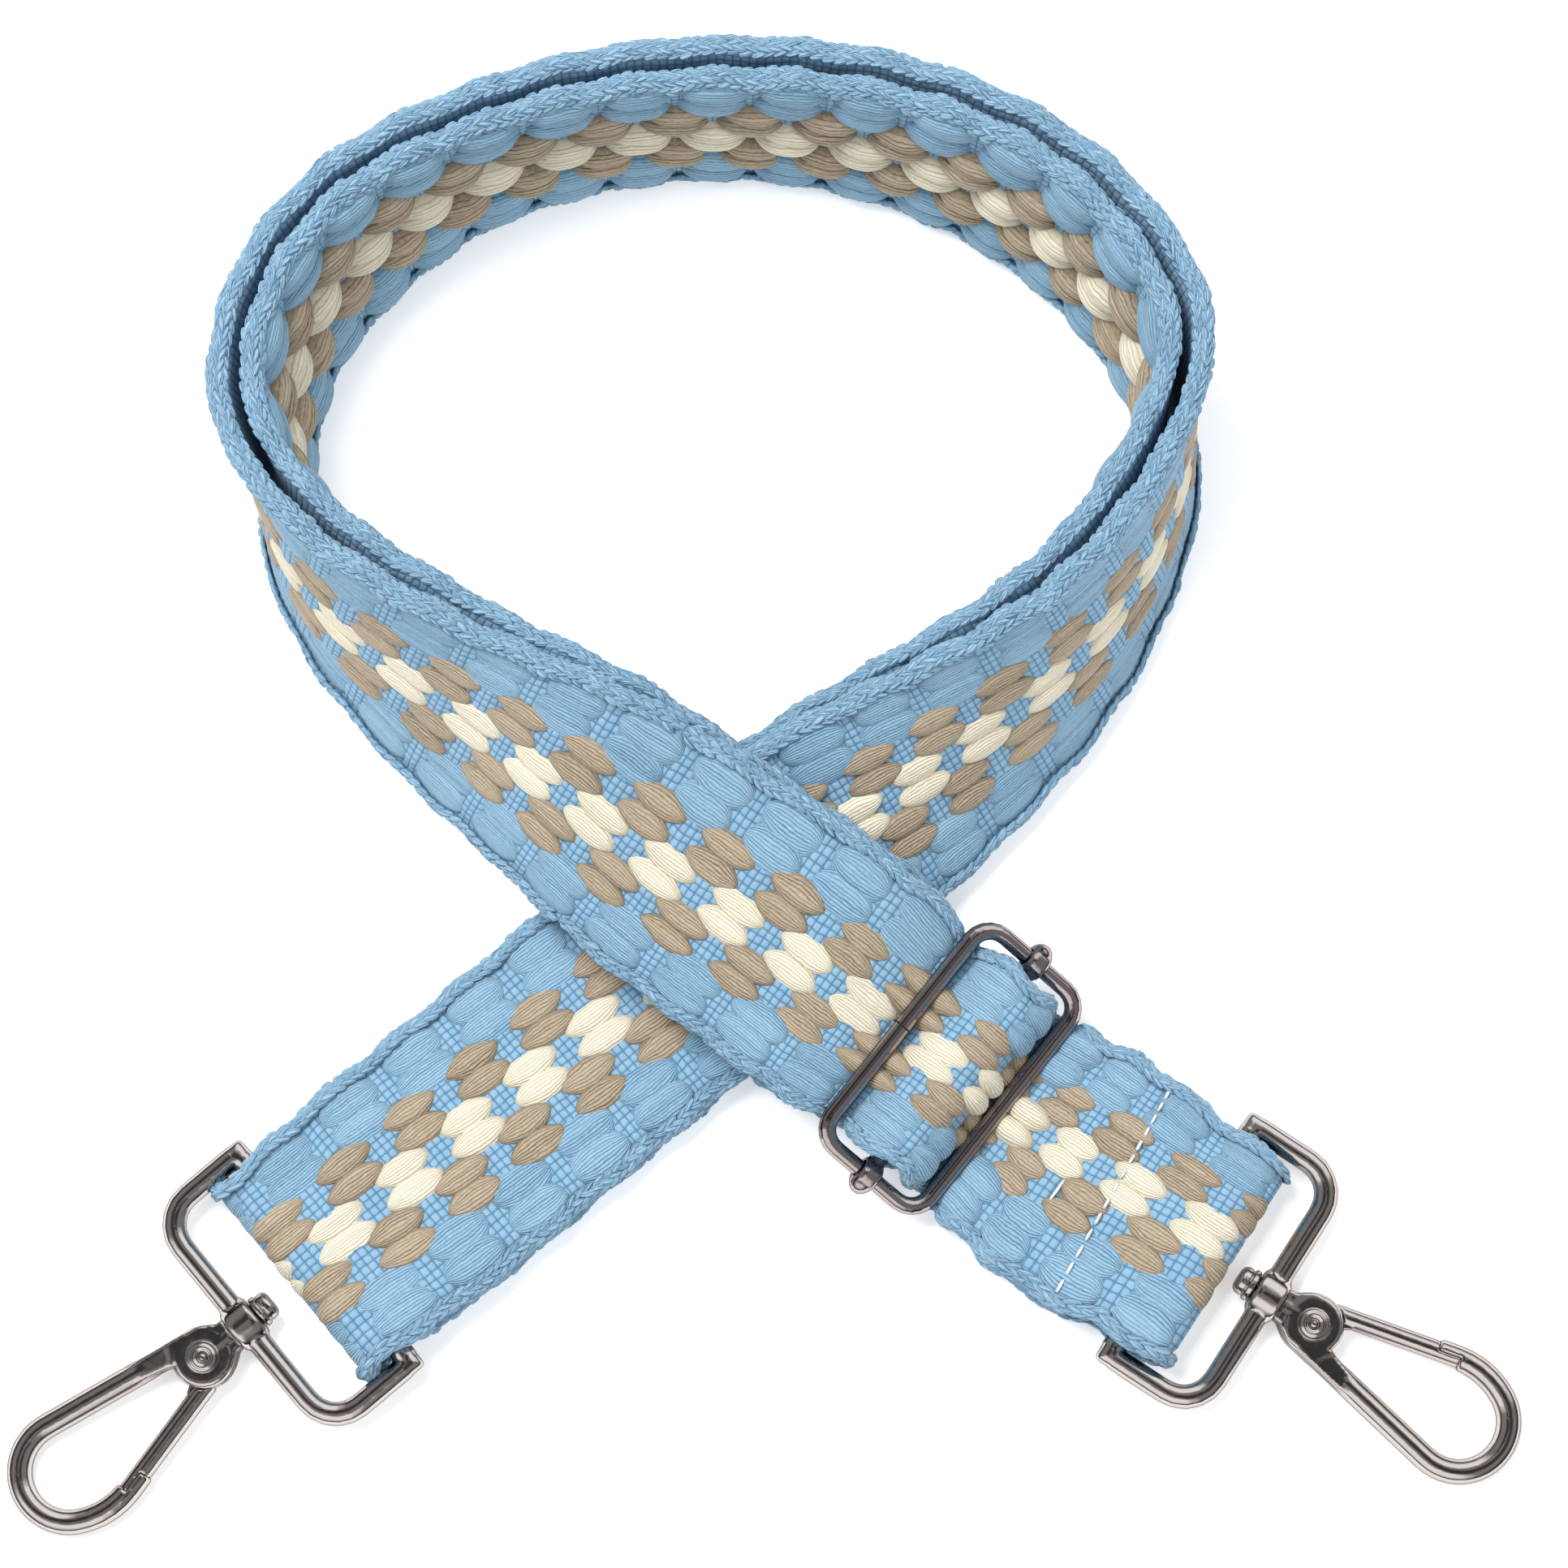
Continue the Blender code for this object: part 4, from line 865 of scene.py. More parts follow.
bend_at = np.arange(0, path_at[-1], MM)
bend_points, bend_faces = (
    np.stack([np.interp(bend_at, path_at, path_table[:, k]) for k in columns], axis=1)
    for columns in ((0, 1, 2), (6, 7, 8))
)
path_bend = -np.einsum("ij,ij->i", np.gradient(bend_faces, bend_at, axis=0), np.gradient(bend_points, bend_at, axis=0))
path_bend = np.convolve(path_bend, np.ones(BEND_WINDOW) / BEND_WINDOW, mode="same")


def squeeze_at(s):
    """How much the webbing is bent towards its good face, from -1 to 1."""
    return np.clip(np.interp(s, bend_at, path_bend) * FULL_BEND, -1, 1)


def edge_at(s):
    """Half the width of the webbing with its wave, stronger in bends. The right ring's fold is drawn in."""
    wave = EDGE_WAVE * (WAVE_STRAIGHT + WAVE_BENT * np.abs(squeeze_at(s))) * np.cos(math.tau * count_at(s))
    near = np.exp(-(((s - RIGHT_FOLD) / FOLD_DRAW_REACH) ** 2))
    return HALF - EDGE_INSET + wave * (1 - WAVE_FOLDED * near) - FOLD_DRAW * near


def ground_height(s, u):
    """Height of the ground's top over the middle of the webbing."""
    column = np.round(u / COLUMN)
    offset = np.where(column % 2 == 0, 0.5, 0.0)
    from_gap = (count_at(s) - offset + 0.5) % 1 - 0.5
    hump = np.exp(-((from_gap / HUMP_REACH) ** 2)) * HUMP
    inside = np.clip((TOP_HALF - np.abs(u)) / MM, 0, 1)
    return GROUND_TOP + hump * inside


def build_ground(run):
    """The closed band of one run."""
    name, low, high, *_ = run
    count = max(2, math.ceil((high - low) / GROUND_STEP))
    s = np.linspace(low, high, count + 1)[:, None]
    top = np.linspace(-TOP_HALF, TOP_HALF, TOP_COLUMNS)[None, :]
    edge = edge_at(s)
    centre = edge - EDGE_TUBE
    angles = np.radians(np.linspace(*EDGE_TURN, EDGE_COLUMNS))[None, :]
    right_u = centre + EDGE_TUBE * np.cos(angles)
    right_h = EDGE_TUBE * np.sin(angles) * np.ones_like(s)
    bottom = np.linspace(BOTTOM_SHARE, -BOTTOM_SHARE, BOTTOM_COLUMNS)[None, :] * centre
    bottom_h = GROUND_LOW * np.ones_like(bottom)
    u = np.concatenate([top * np.ones_like(s), right_u, bottom, -right_u[:, ::-1]], axis=1)
    h = np.concatenate([ground_height(s, top * np.ones_like(s)), right_h, bottom_h, right_h[:, ::-1]], axis=1)
    points = on_webbing(s * np.ones_like(u), u, h)[None]
    side_girth = top[0, -1] + np.linspace(*SIDE_GIRTH, EDGE_COLUMNS)
    girth = np.concatenate([top[0], side_girth, np.linspace(*BOTTOM_GIRTH, BOTTOM_COLUMNS), -side_girth[::-1]])
    uvs = np.stack([np.broadcast_to(girth[None, :] * 1000, u.shape), np.broadcast_to(s * 1000, u.shape)], axis=-1)[None]
    return capped(grid_object(f"webbing_ground_{name}", points, uvs, ground_weave, wrap=True))


grounds = {run[0]: build_ground(run) for run in RUNS}
for run_name, made in grounds.items():
    print(f"  {made.name}: {len(made.data.polygons)} faces")

# %% [markdown]
# ## Floats
#
# Every float is a bundle that rises out of the ground, bulges in the middle and dives back. They lie two by two:
# a cream pair in the middle column, a taupe pair on each side half a repeat later, and a blue pair in the outer
# columns. The bundles lean a few degrees. Where the webbing bends towards its good face, as it does inside the
# loop, they are squeezed and bulge more.

# %% Build the floats
REPEAT = 0.0124
FLOAT_LENGTH = 0.0106
FLOAT_LEAN = 0.00030
FLOAT_SHEAR = 0.00026
FLOAT_RISE = 0.00165
FLOAT_ROOT = -0.0002
FLOAT_UNDER = 0.0003
FLOAT_TIP = 0.03
END_MARGIN = 0.0015
LENGTH_SPREAD, WIDTH_SPREAD, RISE_SPREAD = (0.97, 1.04), (0.96, 1.05), (0.95, 1.05)
SIDE_DRIFT = 0.00006
# What a full bend towards the good face adds to a float's length and height, and a bend away takes from its height.
BENT_LONGER, BENT_HIGHER, BENT_LOWER = 0.16, 1.25, 0.25
# Exponents of the bulge along a float and of its section, each with what a full bend adds.
BULGE_BLUNT, BULGE_SOFT, SECTION_SOFT = (7, -4.8), (0.6, 0.15), (0.62, 0.30)
ROWS = 17
TOP_POINTS = 11
UNDER_ANGLES = [1.25 * math.pi, 1.5 * math.pi, 1.75 * math.pi]
# Of each colour: its columns, half width, half the distance in a pair, that of the outer float, length, height
# and how blunt its outline is.
FLOAT_KINDS = {
    "blue": ((-2, 2), 0.00350, 0.00195, 1.27 * 0.00195, 1.08, 0.86, 3.2),
    "taupe": ((-1, 1), 0.00252, 0.00190, 0.00190, 1.0, 1.0, 2.3),
    "cream": ((0,), 0.00252, 0.00190, 0.00190, 1.0, 1.0, 2.3),
}

INSIDE_BUNDLE = (0.002, 0.998)
rng = np.random.default_rng(7)


def float_shapes(kind):
    """Middle count, column and side of its pair, for each float of one colour."""
    low, high = count_at(0.0), count_at(end)
    whole = np.arange(math.ceil(low), math.floor(high) + 1)
    halves = np.arange(math.floor(low), math.ceil(high) + 1) + 0.5
    counts = halves if kind == "taupe" else whole
    columns = FLOAT_KINDS[kind][0]
    return np.array([(count, column, side) for column in columns for count in counts for side in (-1, 1)], float)


def each(values):
    """One value for each float or stitch, ready to spread over its rows and columns."""
    return values[:, None, None]


def bundle_uvs(numbers, share, a):
    """The yarn's coordinates: each bundle's number plus the share across it, and the share along it."""
    across = each(numbers) + np.clip(share, *INSIDE_BUNDLE) + 0 * a
    return np.stack([across, (a + 1) / 2 + 0 * across], axis=-1)


def build_floats(run, kind, material):
    """The floats of one colour on one run, as one object."""
    name, low, high, *_ = run
    _, half_width_of, apart_of, outer_apart, longer, higher, blunt = FLOAT_KINDS[kind]
    shapes = float_shapes(kind)
    middle = at_count(shapes[:, 0])
    kept = (middle >= low) & (middle < high) & (middle > END_MARGIN) & (middle < end - END_MARGIN)
    shapes, middle = shapes[kept], middle[kept]
    if not len(shapes):
        return None
    total = len(shapes)
    count, column, pair_side = shapes.T
    pitch = at_count(count + 0.5) - at_count(count - 0.5)
    squeeze = squeeze_at(middle)
    pinched = np.maximum(squeeze, 0)
    length = FLOAT_LENGTH * pitch / REPEAT * rng.uniform(*LENGTH_SPREAD, total) * (1 + BENT_LONGER * pinched) * longer
    half = half_width_of * rng.uniform(*WIDTH_SPREAD, total)
    apart = np.where(np.sign(column) == pair_side, outer_apart, apart_of)
    centre = column * COLUMN + pair_side * apart + rng.normal(0, SIDE_DRIFT, total)
    middle = middle - pair_side * FLOAT_SHEAR
    swollen = 1 + squeeze * np.where(squeeze > 0, BENT_HIGHER, BENT_LOWER)
    rise = FLOAT_RISE * swollen * rng.uniform(*RISE_SPREAD, total) * higher
    a = np.linspace(-1, 1, ROWS)[None, :, None]
    angle = np.concatenate([np.linspace(0, math.pi, TOP_POINTS), UNDER_ANGLES])[None, None, :]
    width = each(half) * (FLOAT_TIP + (1 - FLOAT_TIP) * (1 - np.abs(a) ** blunt))
    blunting, softening, section = (
        plain + added * each(pinched) for plain, added in (BULGE_BLUNT, BULGE_SOFT, SECTION_SOFT)
    )
    bulge = (1 - np.abs(a) ** blunting) ** softening
    crown = FLOAT_ROOT + (each(rise) - FLOAT_ROOT) * bulge
    across = np.cos(angle)
    up = np.where(np.sin(angle) >= 0, np.abs(np.sin(angle)) ** section, 0.0)
    down = np.where(np.sin(angle) < 0, FLOAT_UNDER, 0.0)
    s = each(middle) + each(length) / 2 * a + 0 * across
    u = each(centre) + FLOAT_LEAN * a + width * across
    h = FLOAT_ROOT + (crown - FLOAT_ROOT) * up - down
    points = on_webbing(np.clip(s, 0, end), u, h)
    uvs = bundle_uvs(rng.permutation(total) + 3, (1 - np.cos(np.minimum(angle, math.pi))) / 2, a)
    return capped(grid_object(f"{kind}_floats_{name}", points, uvs, material, wrap=True))


floats = {}
for run in RUNS:
    for kind, material in (("blue", blue_yarn), ("taupe", taupe_yarn), ("cream", cream_yarn)):
        made = build_floats(run, kind, material)
        if made:
            floats.setdefault(run[0], []).append(made)
float_faces = sum(len(piece.data.polygons) for made in floats.values() for piece in made)
print("float pieces:", sum(len(made) for made in floats.values()), "faces:", float_faces)

# %% [markdown]
# ## Braided edges
#
# Both edges are closed by a chain of short stitches that slant one way and the other, like a knitted chain. They
# are what the eye follows round the standing loop, so they are real bundles too, in six rows round the edge.

# %% Build the edges
CHAIN_PITCH = 0.00180
CHAIN_LENGTH = 0.00270
CHAIN_HALF = 0.00060
CHAIN_RISE = 0.00075
CHAIN_ROWS = tuple((90 - 28 * row, 1 if row % 2 else -1) for row in range(6))
CHAIN_MARGIN = 0.0004
CHAIN_GRID = np.linspace(-1, 1, 5)
CHAIN_SUNK = 0.00025
CHAIN_OUT = 0.0001
CHAIN_DRIFT = 0.00012
CHAIN_SPREAD = (0.75, 1.25)
CHAIN_TIP = 0.25
CHAIN_SLANT = 0.6
CHAIN_BLUNT, CHAIN_ROUND = 2.2, 2.4


def build_chain(run):
    """The chain stitches on both edges of one run, as one object."""
    name, low, high, *_ = run
    places = np.arange(math.ceil(low / CHAIN_PITCH), math.floor(high / CHAIN_PITCH) + 1) * CHAIN_PITCH
    places = places[(places >= low + CHAIN_MARGIN) & (places <= high - CHAIN_MARGIN)]
    table = np.array([
        (place + (CHAIN_PITCH / 2 if lean < 0 else 0), side, math.radians(turn), lean)
        for side in (-1, 1) for turn, lean in CHAIN_ROWS for place in places
    ])
    total = len(table)
    table[:, 0] += rng.normal(0, CHAIN_DRIFT, total)
    table[:, 3] *= rng.uniform(*CHAIN_SPREAD, total)
    place, side, turn, lean = (each(column) for column in table.T)
    a = CHAIN_GRID[None, :, None]
    b = CHAIN_GRID[None, None, :]
    body = np.sqrt(np.clip(1 - np.abs(a) ** CHAIN_BLUNT, 0, 1))
    s = np.clip(place + CHAIN_LENGTH / 2 * a + 0 * b, 0, end)
    size = each(rng.uniform(*CHAIN_SPREAD, total))
    reach = EDGE_TUBE + CHAIN_OUT
    swing = CHAIN_HALF / reach * (b * (CHAIN_TIP + (1 - CHAIN_TIP) * body) * size + CHAIN_SLANT * lean * a)
    radius = reach - CHAIN_SUNK + CHAIN_RISE * size * body * (1 - np.abs(b) ** CHAIN_ROUND)
    u = side * (edge_at(s) - EDGE_TUBE + radius * np.cos(turn + swing))
    h = radius * np.sin(turn + swing)
    points = on_webbing(s, u, h)
    uvs = bundle_uvs(rng.permutation(total) + 1, (b + 1) / 2, a)
    left = table[:, 1] < 0
    points[left] = points[left][:, :, ::-1]
    uvs[left] = uvs[left][:, :, ::-1]
    return grid_object(f"edge_chain_{name}", points, uvs, edge_yarn)


chains = {run[0]: build_chain(run) for run in RUNS}
print("chain faces:", sum(len(made.data.polygons) for made in chains.values()))

# %% [markdown]
# ## Seams
#
# White thread closes the flap round the right ring. Each stitch dives into the weave at both ends. A short
# backstitch beside the row shows where the seam was started.

# %% Build the visible seam
SEAM_PLACE = 0.0495
BACKSTITCH_PLACE = 0.0560
STITCH = 0.0026
STITCH_GRID = 9
STITCH_SHARE = 0.40
STITCH_DIVE = 0.0006
THREAD_HALF = 0.00024
THREAD_TIP = 0.4
thread = yarn_material("white_thread", (0.86, 0.87, 0.86), (0.45, 0.48, 0.50), 2, 0.5, 0.05, 2.0)


def build_seam(name, place, half, top, slope, stitch=STITCH, centre=0.0):
    """A row of stitches across the webbing."""
    count = int(2 * half / stitch)
    middles = (np.arange(count) - (count - 1) / 2) * stitch + centre
    a = np.linspace(-1, 1, STITCH_GRID)[None, :, None]
    angle = np.linspace(0, math.tau, STITCH_GRID)[None, None, :-1]
    u = each(middles) + stitch * STITCH_SHARE * a + 0 * angle
    sunk = np.abs(a) ** 4
    body = np.sqrt(np.clip(1 - sunk, 0, 1))
    s = place + slope * u + THREAD_HALF * np.cos(angle) * (THREAD_TIP + (1 - THREAD_TIP) * body)
    h = top + THREAD_HALF * np.sin(angle) - STITCH_DIVE * sunk + 0 * u
    uvs = bundle_uvs(np.arange(count) + 1, (1 + np.cos(angle)) / 2, a)
    return capped(grid_object(name, on_webbing(s, u, h), uvs, thread, wrap=True))


seam = build_seam("hook_end_stitches", SEAM_PLACE, HALF - 0.0012, 0.00165, 0.077)
backstitch = build_seam("hook_end_backstitch", BACKSTITCH_PLACE, 0.0025, 0.00150, 0.0, 0.0050, -0.00585)
print("seam at", round(1000 * SEAM_PLACE, 1), "mm")

# %% [markdown]
# The woven pieces have to move with the part. The pieces of a run ride on a body, or stay where they are
# between two bodies. The CAD stretches of webbing that the grounds replace are hidden.

# %% Attach each woven piece and hide the CAD stretches it replaces
REPLACED = {
    "hook_end": "webbing_hook_end", "slider_run": "webbing_through_slider", "loop": "webbing_loop",
    "take_up": "webbing_take_up", "slider_end": "webbing_slider_end",
}
for run in RUNS:
    name, low, high, *_ = run
    pieces = [*floats.get(name, []), chains[name]]
    if name == "hook_end":
        pieces.append(seam)
    if name == "hook_run":
        pieces.append(backstitch)
    for piece in (grounds[name], *pieces):
        follow(piece, run)
    if name in REPLACED:
        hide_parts(REPLACED[name])
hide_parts("hook_end_seam")
print("woven pieces:", 2 + sum(2 + len(floats.get(run[0], [])) for run in RUNS))

# %% [markdown]
# ## Metal
#
# The slider, rings and hooks are bent wire and die-cast zinc, plated in a light gun-black nickel and polished. It
# mirrors the white room with a warm grey tint. A faint waviness of the polish and small rubbed spots keep the
# reflections from looking like glass.

# %% Metal group and materials


def build_metal_group():
    """Tint, roughness and waviness of polished plating."""
    tree, given, result = new_group(
        "polished_plating",
        [
            ("Tint", "NodeSocketColor", (0.5, 0.5, 0.5, 1)), ("Rubbed", "NodeSocketColor", (0.7, 0.7, 0.7, 1)),
            ("Haze", "NodeSocketFloat", 0.07),
        ],
        [("Color", "NodeSocketColor"), ("Roughness", "NodeSocketFloat"), ("Height", "NodeSocketFloat")],
    )
    place = node(tree, "ShaderNodeTexCoord").outputs["Object"]
    waves = noise(tree, place, 180.0, 2.0)
    spots = noise(tree, place, 900.0, 4.0, 0.65)
    rub = spread(spots, 0.60, 0.78, tree, 0.0, 0.5)
    rough = maths(tree, "ADD", spread(spots, 0.3, 0.75, tree, 0.0, 0.09), given.outputs["Haze"])
    tree.links.new(mix(tree, rub, given.outputs["Tint"], given.outputs["Rubbed"]), result.inputs["Color"])
    tree.links.new(rough, result.inputs["Roughness"])
    tree.links.new(maths(tree, "MULTIPLY_ADD", spots, 0.12, waves), result.inputs["Height"])
    return tree


metal_group = build_metal_group()


def metal_material(name, tint, rubbed, haze):
    """Polished plating in one tint, with painted shade where it turns away."""
    values = {"Tint": (*tint, 1), "Rubbed": (*rubbed, 1), "Haze": haze}
    made, shader, group = grouped_material(name, metal_group, values, strength=0.12, distance=0.0004)
    tree = made.node_tree
    # Painted shade: the base colour darkens towards the rims, and the dark Specular Tint darkens their reflection too.
    turned = node(tree, "ShaderNodeLayerWeight", {"Blend": 0.5}).outputs["Facing"]
    shade = spread(turned, 0.55, 0.98, tree, 1.0, 0.28)
    tree.links.new(mix(tree, shade, (0.0, 0.0, 0.0, 1), group.outputs["Color"]), shader.inputs["Base Color"])
    tree.links.new(group.outputs["Roughness"], shader.inputs["Roughness"])
    set_values(shader, {"Metallic": 1.0, "Specular Tint": (0.42, 0.38, 0.37, 1)})
    return made


nickel = metal_material("light_gun_nickel", (0.48, 0.44, 0.42), (0.62, 0.58, 0.55), 0.07)
gunmetal = metal_material("dark_gunmetal", (0.38, 0.325, 0.325), (0.60, 0.54, 0.54), 0.05)
spring_steel = metal_material("spring_steel_wire", (0.55, 0.55, 0.56), (0.7, 0.7, 0.7), 0.12)
print("finishes:", nickel.name, gunmetal.name, spring_steel.name)

# %% [markdown]
# The hooks' own frames: the origin is the face of the ring's boss, X points along the hook to its bow, and Z is
# up from the plate.

# %% Place the hooks' frames
HOOK_FRAMES = {
    "left": (
        (-0.0795, -0.08114, 0.00435),
        (-0.76465, -0.64162, -0.06029), (0.64279, -0.76604, 0.0), (-0.04619, -0.03876, 0.99818),
    ),
    "right": (
        (0.07698, -0.07688, 0.00435),
        (0.83714, -0.54365, -0.06029), (0.54464, 0.83867, 0.0), (0.05057, -0.03284, 0.99818),
    ),
}
HOOK_PLACES = {}
for side, (origin, *axes) in HOOK_FRAMES.items():
    HOOK_PLACES[side] = Matrix.Translation(origin) @ Matrix(axes).transposed().to_4x4()
    print(f"{side} hook's frame at", [round(1000 * value, 1) for value in origin], "mm")

# %% [markdown]
# Die casting and tumbling leave no sharp edge. The CAD solids have flat facets and hard rims, so each piece is
# copied, its surface is rebuilt in even small cells, and those are relaxed until the rims are round. The hook's
# plate also flows into its neck and its arm there, which small webs give it. A subdivision surface could round
# the pieces too, but it would pull the thin lips and slots out of place.

# %% Helpers for rounding
BODY_OF = {"slider_frame": "slider_frame", "slider_bar": "slider_bar"}
for side in SIDES:
    for piece_name, body in (("ring", "ring"), ("swivel_rivet", "hook"), ("hook_body", "hook"), ("gate", "gate")):
        BODY_OF[f"{side}_{piece_name}"] = f"{side}_{body}"


def mesh_of(bm, name):
    """A mesh from a bmesh, which is freed."""
    mesh = bpy.data.meshes.new(name)
    bm.to_mesh(mesh)
    bm.free()
    return mesh


def relaxed(bm, verts, rounds):
    """Each point is moved halfway to its neighbours' middle, some rounds in a row."""
    for _ in range(rounds):
        bmesh.ops.smooth_vert(bm, verts=verts, factor=0.5, use_axis_x=True, use_axis_y=True, use_axis_z=True)


def prism(outline):
    """A closed prism over an outline whose points carry half the height there."""
    bm = bmesh.new()
    floor = [bm.verts.new((x, y, -half)) for x, y, half in outline]
    roof = [bm.verts.new((x, y, half)) for x, y, half in outline]
    bm.faces.new(floor[::-1])
    bm.faces.new(roof)
    for i in range(len(outline)):
        j = (i + 1) % len(outline)
        bm.faces.new((floor[i], floor[j], roof[j], roof[i]))
    bmesh.ops.triangulate(bm, faces=bm.faces[:])
    bmesh.ops.recalc_face_normals(bm, faces=bm.faces[:])
    return mesh_of(bm, "web")


def rounded_copy(name, cell, rounds, grown, extra, place, stretch):
    """A copy of a CAD piece with relaxed rims, in the same place. A hook grows further out along its arm."""
    cad = nodes[name]
    bm = bmesh.new()
    start = cad.data.copy()
    start.transform(cad.matrix_world)
    if stretch:
        start.transform(stretch)
    bm.from_mesh(start)
    for mesh in extra:
        moved = mesh.copy()
        moved.transform(place)
        bm.from_mesh(moved)
    joined = mesh_of(bm, name)
    joined.materials.clear()
    piece = add_to_scene(f"rounded_{name}", joined)
    remesh = piece.modifiers.new("cells", "REMESH")
    remesh.mode = "VOXEL"
    remesh.voxel_size = cell
    remesh.use_smooth_shade = True
    seen = piece.evaluated_get(bpy.context.evaluated_depsgraph_get())
    result = bpy.data.meshes.new_from_object(seen)
    piece.modifiers.clear()
    bm = bmesh.new()
    bm.from_mesh(result)
    relaxed(bm, bm.verts[:], rounds)
    side = name.split("_")[0]
    to_hook = HOOK_PLACES[side].inverted() if side in SIDES else None
    if name.endswith("ring"):
        local = {vertex: to_hook @ vertex.co for vertex in bm.verts}
        back, wide = min(at.x for at in local.values()), max(abs(at.y) for at in local.values())
        corners = [
            vertex for vertex, at in local.items() if at.x < back + RING_CORNER and abs(at.y) > wide - RING_CORNER
        ]
        relaxed(bm, corners, RING_CORNER_ROUNDS)
    bm.normal_update()
    for vertex in bm.verts:
        arm = 0
        if name.endswith("hook_body"):
            arm = min(max(((to_hook @ vertex.co).x - ARM_START) / ARM_BLEND, 0), 1)
        vertex.co += vertex.normal * (grown + ARM_GROWN * arm)
    bm.to_mesh(result)
    bm.free()
    piece.data = result
    result.shade_smooth()
    return piece


# %% [markdown]
# The webs follow the casting's outline in the photograph. They are as high as the plate where they meet it, and
# the arm's web sinks to the arm's own height, so that the plate tapers into the arm without a step.

# %% Outline the hook's webs
# Outlines in millimetres in the hook's frame, each point with half the web's height there.
UPPER_NECK = (
    (2.2, 2.45, 2.3), (3.4, 2.55, 2.3), (4.1, 3.1, 2.35), (5.5, 4.05, 2.38), (6.5, 4.25, 2.38), (5.35, 2.45, 2.38),
    (4.5, 0.8, 2.35),
)
NECK_WEB = [(x, -y, half) for x, y, half in UPPER_NECK] + [(x, y, half) for x, y, half in UPPER_NECK[::-1]]
ARM_WEB = (
    (7.9, -4.62, 2.38), (10.6, -5.12, 2.30), (16.0, -5.95, 1.72), (23.0, -6.25, 0.90), (23.0, -5.30, 0.90),
    (16.0, -3.20, 1.72), (13.4, -2.40, 2.00), (12.45, -1.90, 2.30), (10.4, -2.55, 2.38), (9.0, -3.35, 2.38),
    (7.9, -3.50, 2.38),
)
webs = [prism([(x / 1000, y / 1000, half / 1000) for x, y, half in outline]) for outline in (NECK_WEB, ARM_WEB)]
CELL = 0.00014
ARM_START = 0.012
ARM_BLEND = 0.005
ARM_GROWN = 0.00020
RING_CORNER = 0.0028
RING_CORNER_ROUNDS = 120
GROWN = {"hook_body": 0.00015, "gate": 0.00016, "ring": 0.00012, "slider_frame": -0.00008, "slider_bar": 0.00002}
ROUNDS = {"hook_body": 16, "ring": 36, "slider_bar": 22}
GROWN_ELSEWHERE = 0.00004
ROUNDS_ELSEWHERE = 6
print("webs:", [len(web.polygons) for web in webs], "faces")

# %% [markdown]
# The photograph's slider is a little larger than its CAD solid, so its copies are stretched about its middle. The
# loose bar's wire is closed on itself at both ends, which shows as a ball over each of its eyes.

# %% Stretch the slider and round its bar's ends
SLIDER_ALONG = Vector((0.62251, 0.78261, 0.0))
SLIDER_ACROSS = Vector((0.73063, -0.58117, -0.35837))
KNOB_RADIUS = 0.0019
KNOB_OUT = 0.0013
EYE_LENGTH = 0.0052


def points_of(name):
    """World points of a CAD piece."""
    return np.array([nodes[name].matrix_world @ vertex.co for vertex in nodes[name].data.vertices])


def middle_of(points):
    """The middle of the box round some points."""
    return Vector((points.min(axis=0) + points.max(axis=0)) / 2)


SLIDER_MIDDLE = middle_of(points_of("slider_frame"))


def stretched(long, wide):
    """A stretch of the slider about its middle, along its long and its short sides."""
    scale = Matrix.Identity(3)
    for axis, by in ((SLIDER_ALONG, long), (SLIDER_ACROSS, wide)):
        scale += (by - 1) * Matrix([[p * q for q in axis] for p in axis])
    return Matrix.Translation(SLIDER_MIDDLE) @ scale.to_4x4() @ Matrix.Translation(-SLIDER_MIDDLE)


def bar_knobs():
    """Balls over the bar's eyes, where the wire's end is closed on itself."""
    points = points_of("slider_bar")
    reach = (points - np.array(SLIDER_MIDDLE)) @ np.array(SLIDER_ALONG)
    balls = []
    for sign in (-1, 1):
        centre = middle_of(points[sign * reach > (sign * reach).max() - EYE_LENGTH]) + KNOB_OUT * sign * SLIDER_ALONG
        bm = bmesh.new()
        bmesh.ops.create_icosphere(bm, subdivisions=4, radius=KNOB_RADIUS, matrix=Matrix.Translation(centre))
        balls.append(mesh_of(bm, "knob"))
    return balls


# %% Round every cast piece


def own_value(name, table, otherwise):
    """A piece's value in a table of name endings."""
    return next((value for ending, value in table.items() if name.endswith(ending)), otherwise)


STRETCHES = {"slider_frame": stretched(1.037, 1.07), "slider_bar": stretched(1.037, 1.0)}
for name, body in BODY_OF.items():
    stretch = STRETCHES.get(name)
    extra, place = (), stretch
    if name.endswith("hook_body"):
        extra, place = webs, HOOK_PLACES[name.split("_")[0]]
    elif name == "slider_bar":
        extra = bar_knobs()
    rounds = own_value(name, ROUNDS, ROUNDS_ELSEWHERE)
    grown = own_value(name, GROWN, GROWN_ELSEWHERE)
    slider_part = name.startswith("slider")
    piece = rounded_copy(name, CELL, rounds, grown, extra, place, stretch)
    piece.data.materials.append(gunmetal if slider_part else nickel)
    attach(piece, body)
    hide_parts(name)
    print(f"  {piece.name}: {len(piece.data.polygons)} faces")

# %% [markdown]
# The slider's wire is one piece, bent to a frame and butted. Where its ends meet, over the crossing, the hairline
# gap shows as a fine dark line round the wire: a thin near-black disc, a hair wider than the wire, paints that shadow.

# %% Paint the shadow in the wire's joint
JOINT_PLACE = (0.02147, -0.03696, 0.01364)
JOINT_RADIUS = 0.00160
JOINT_THICK = 0.00022
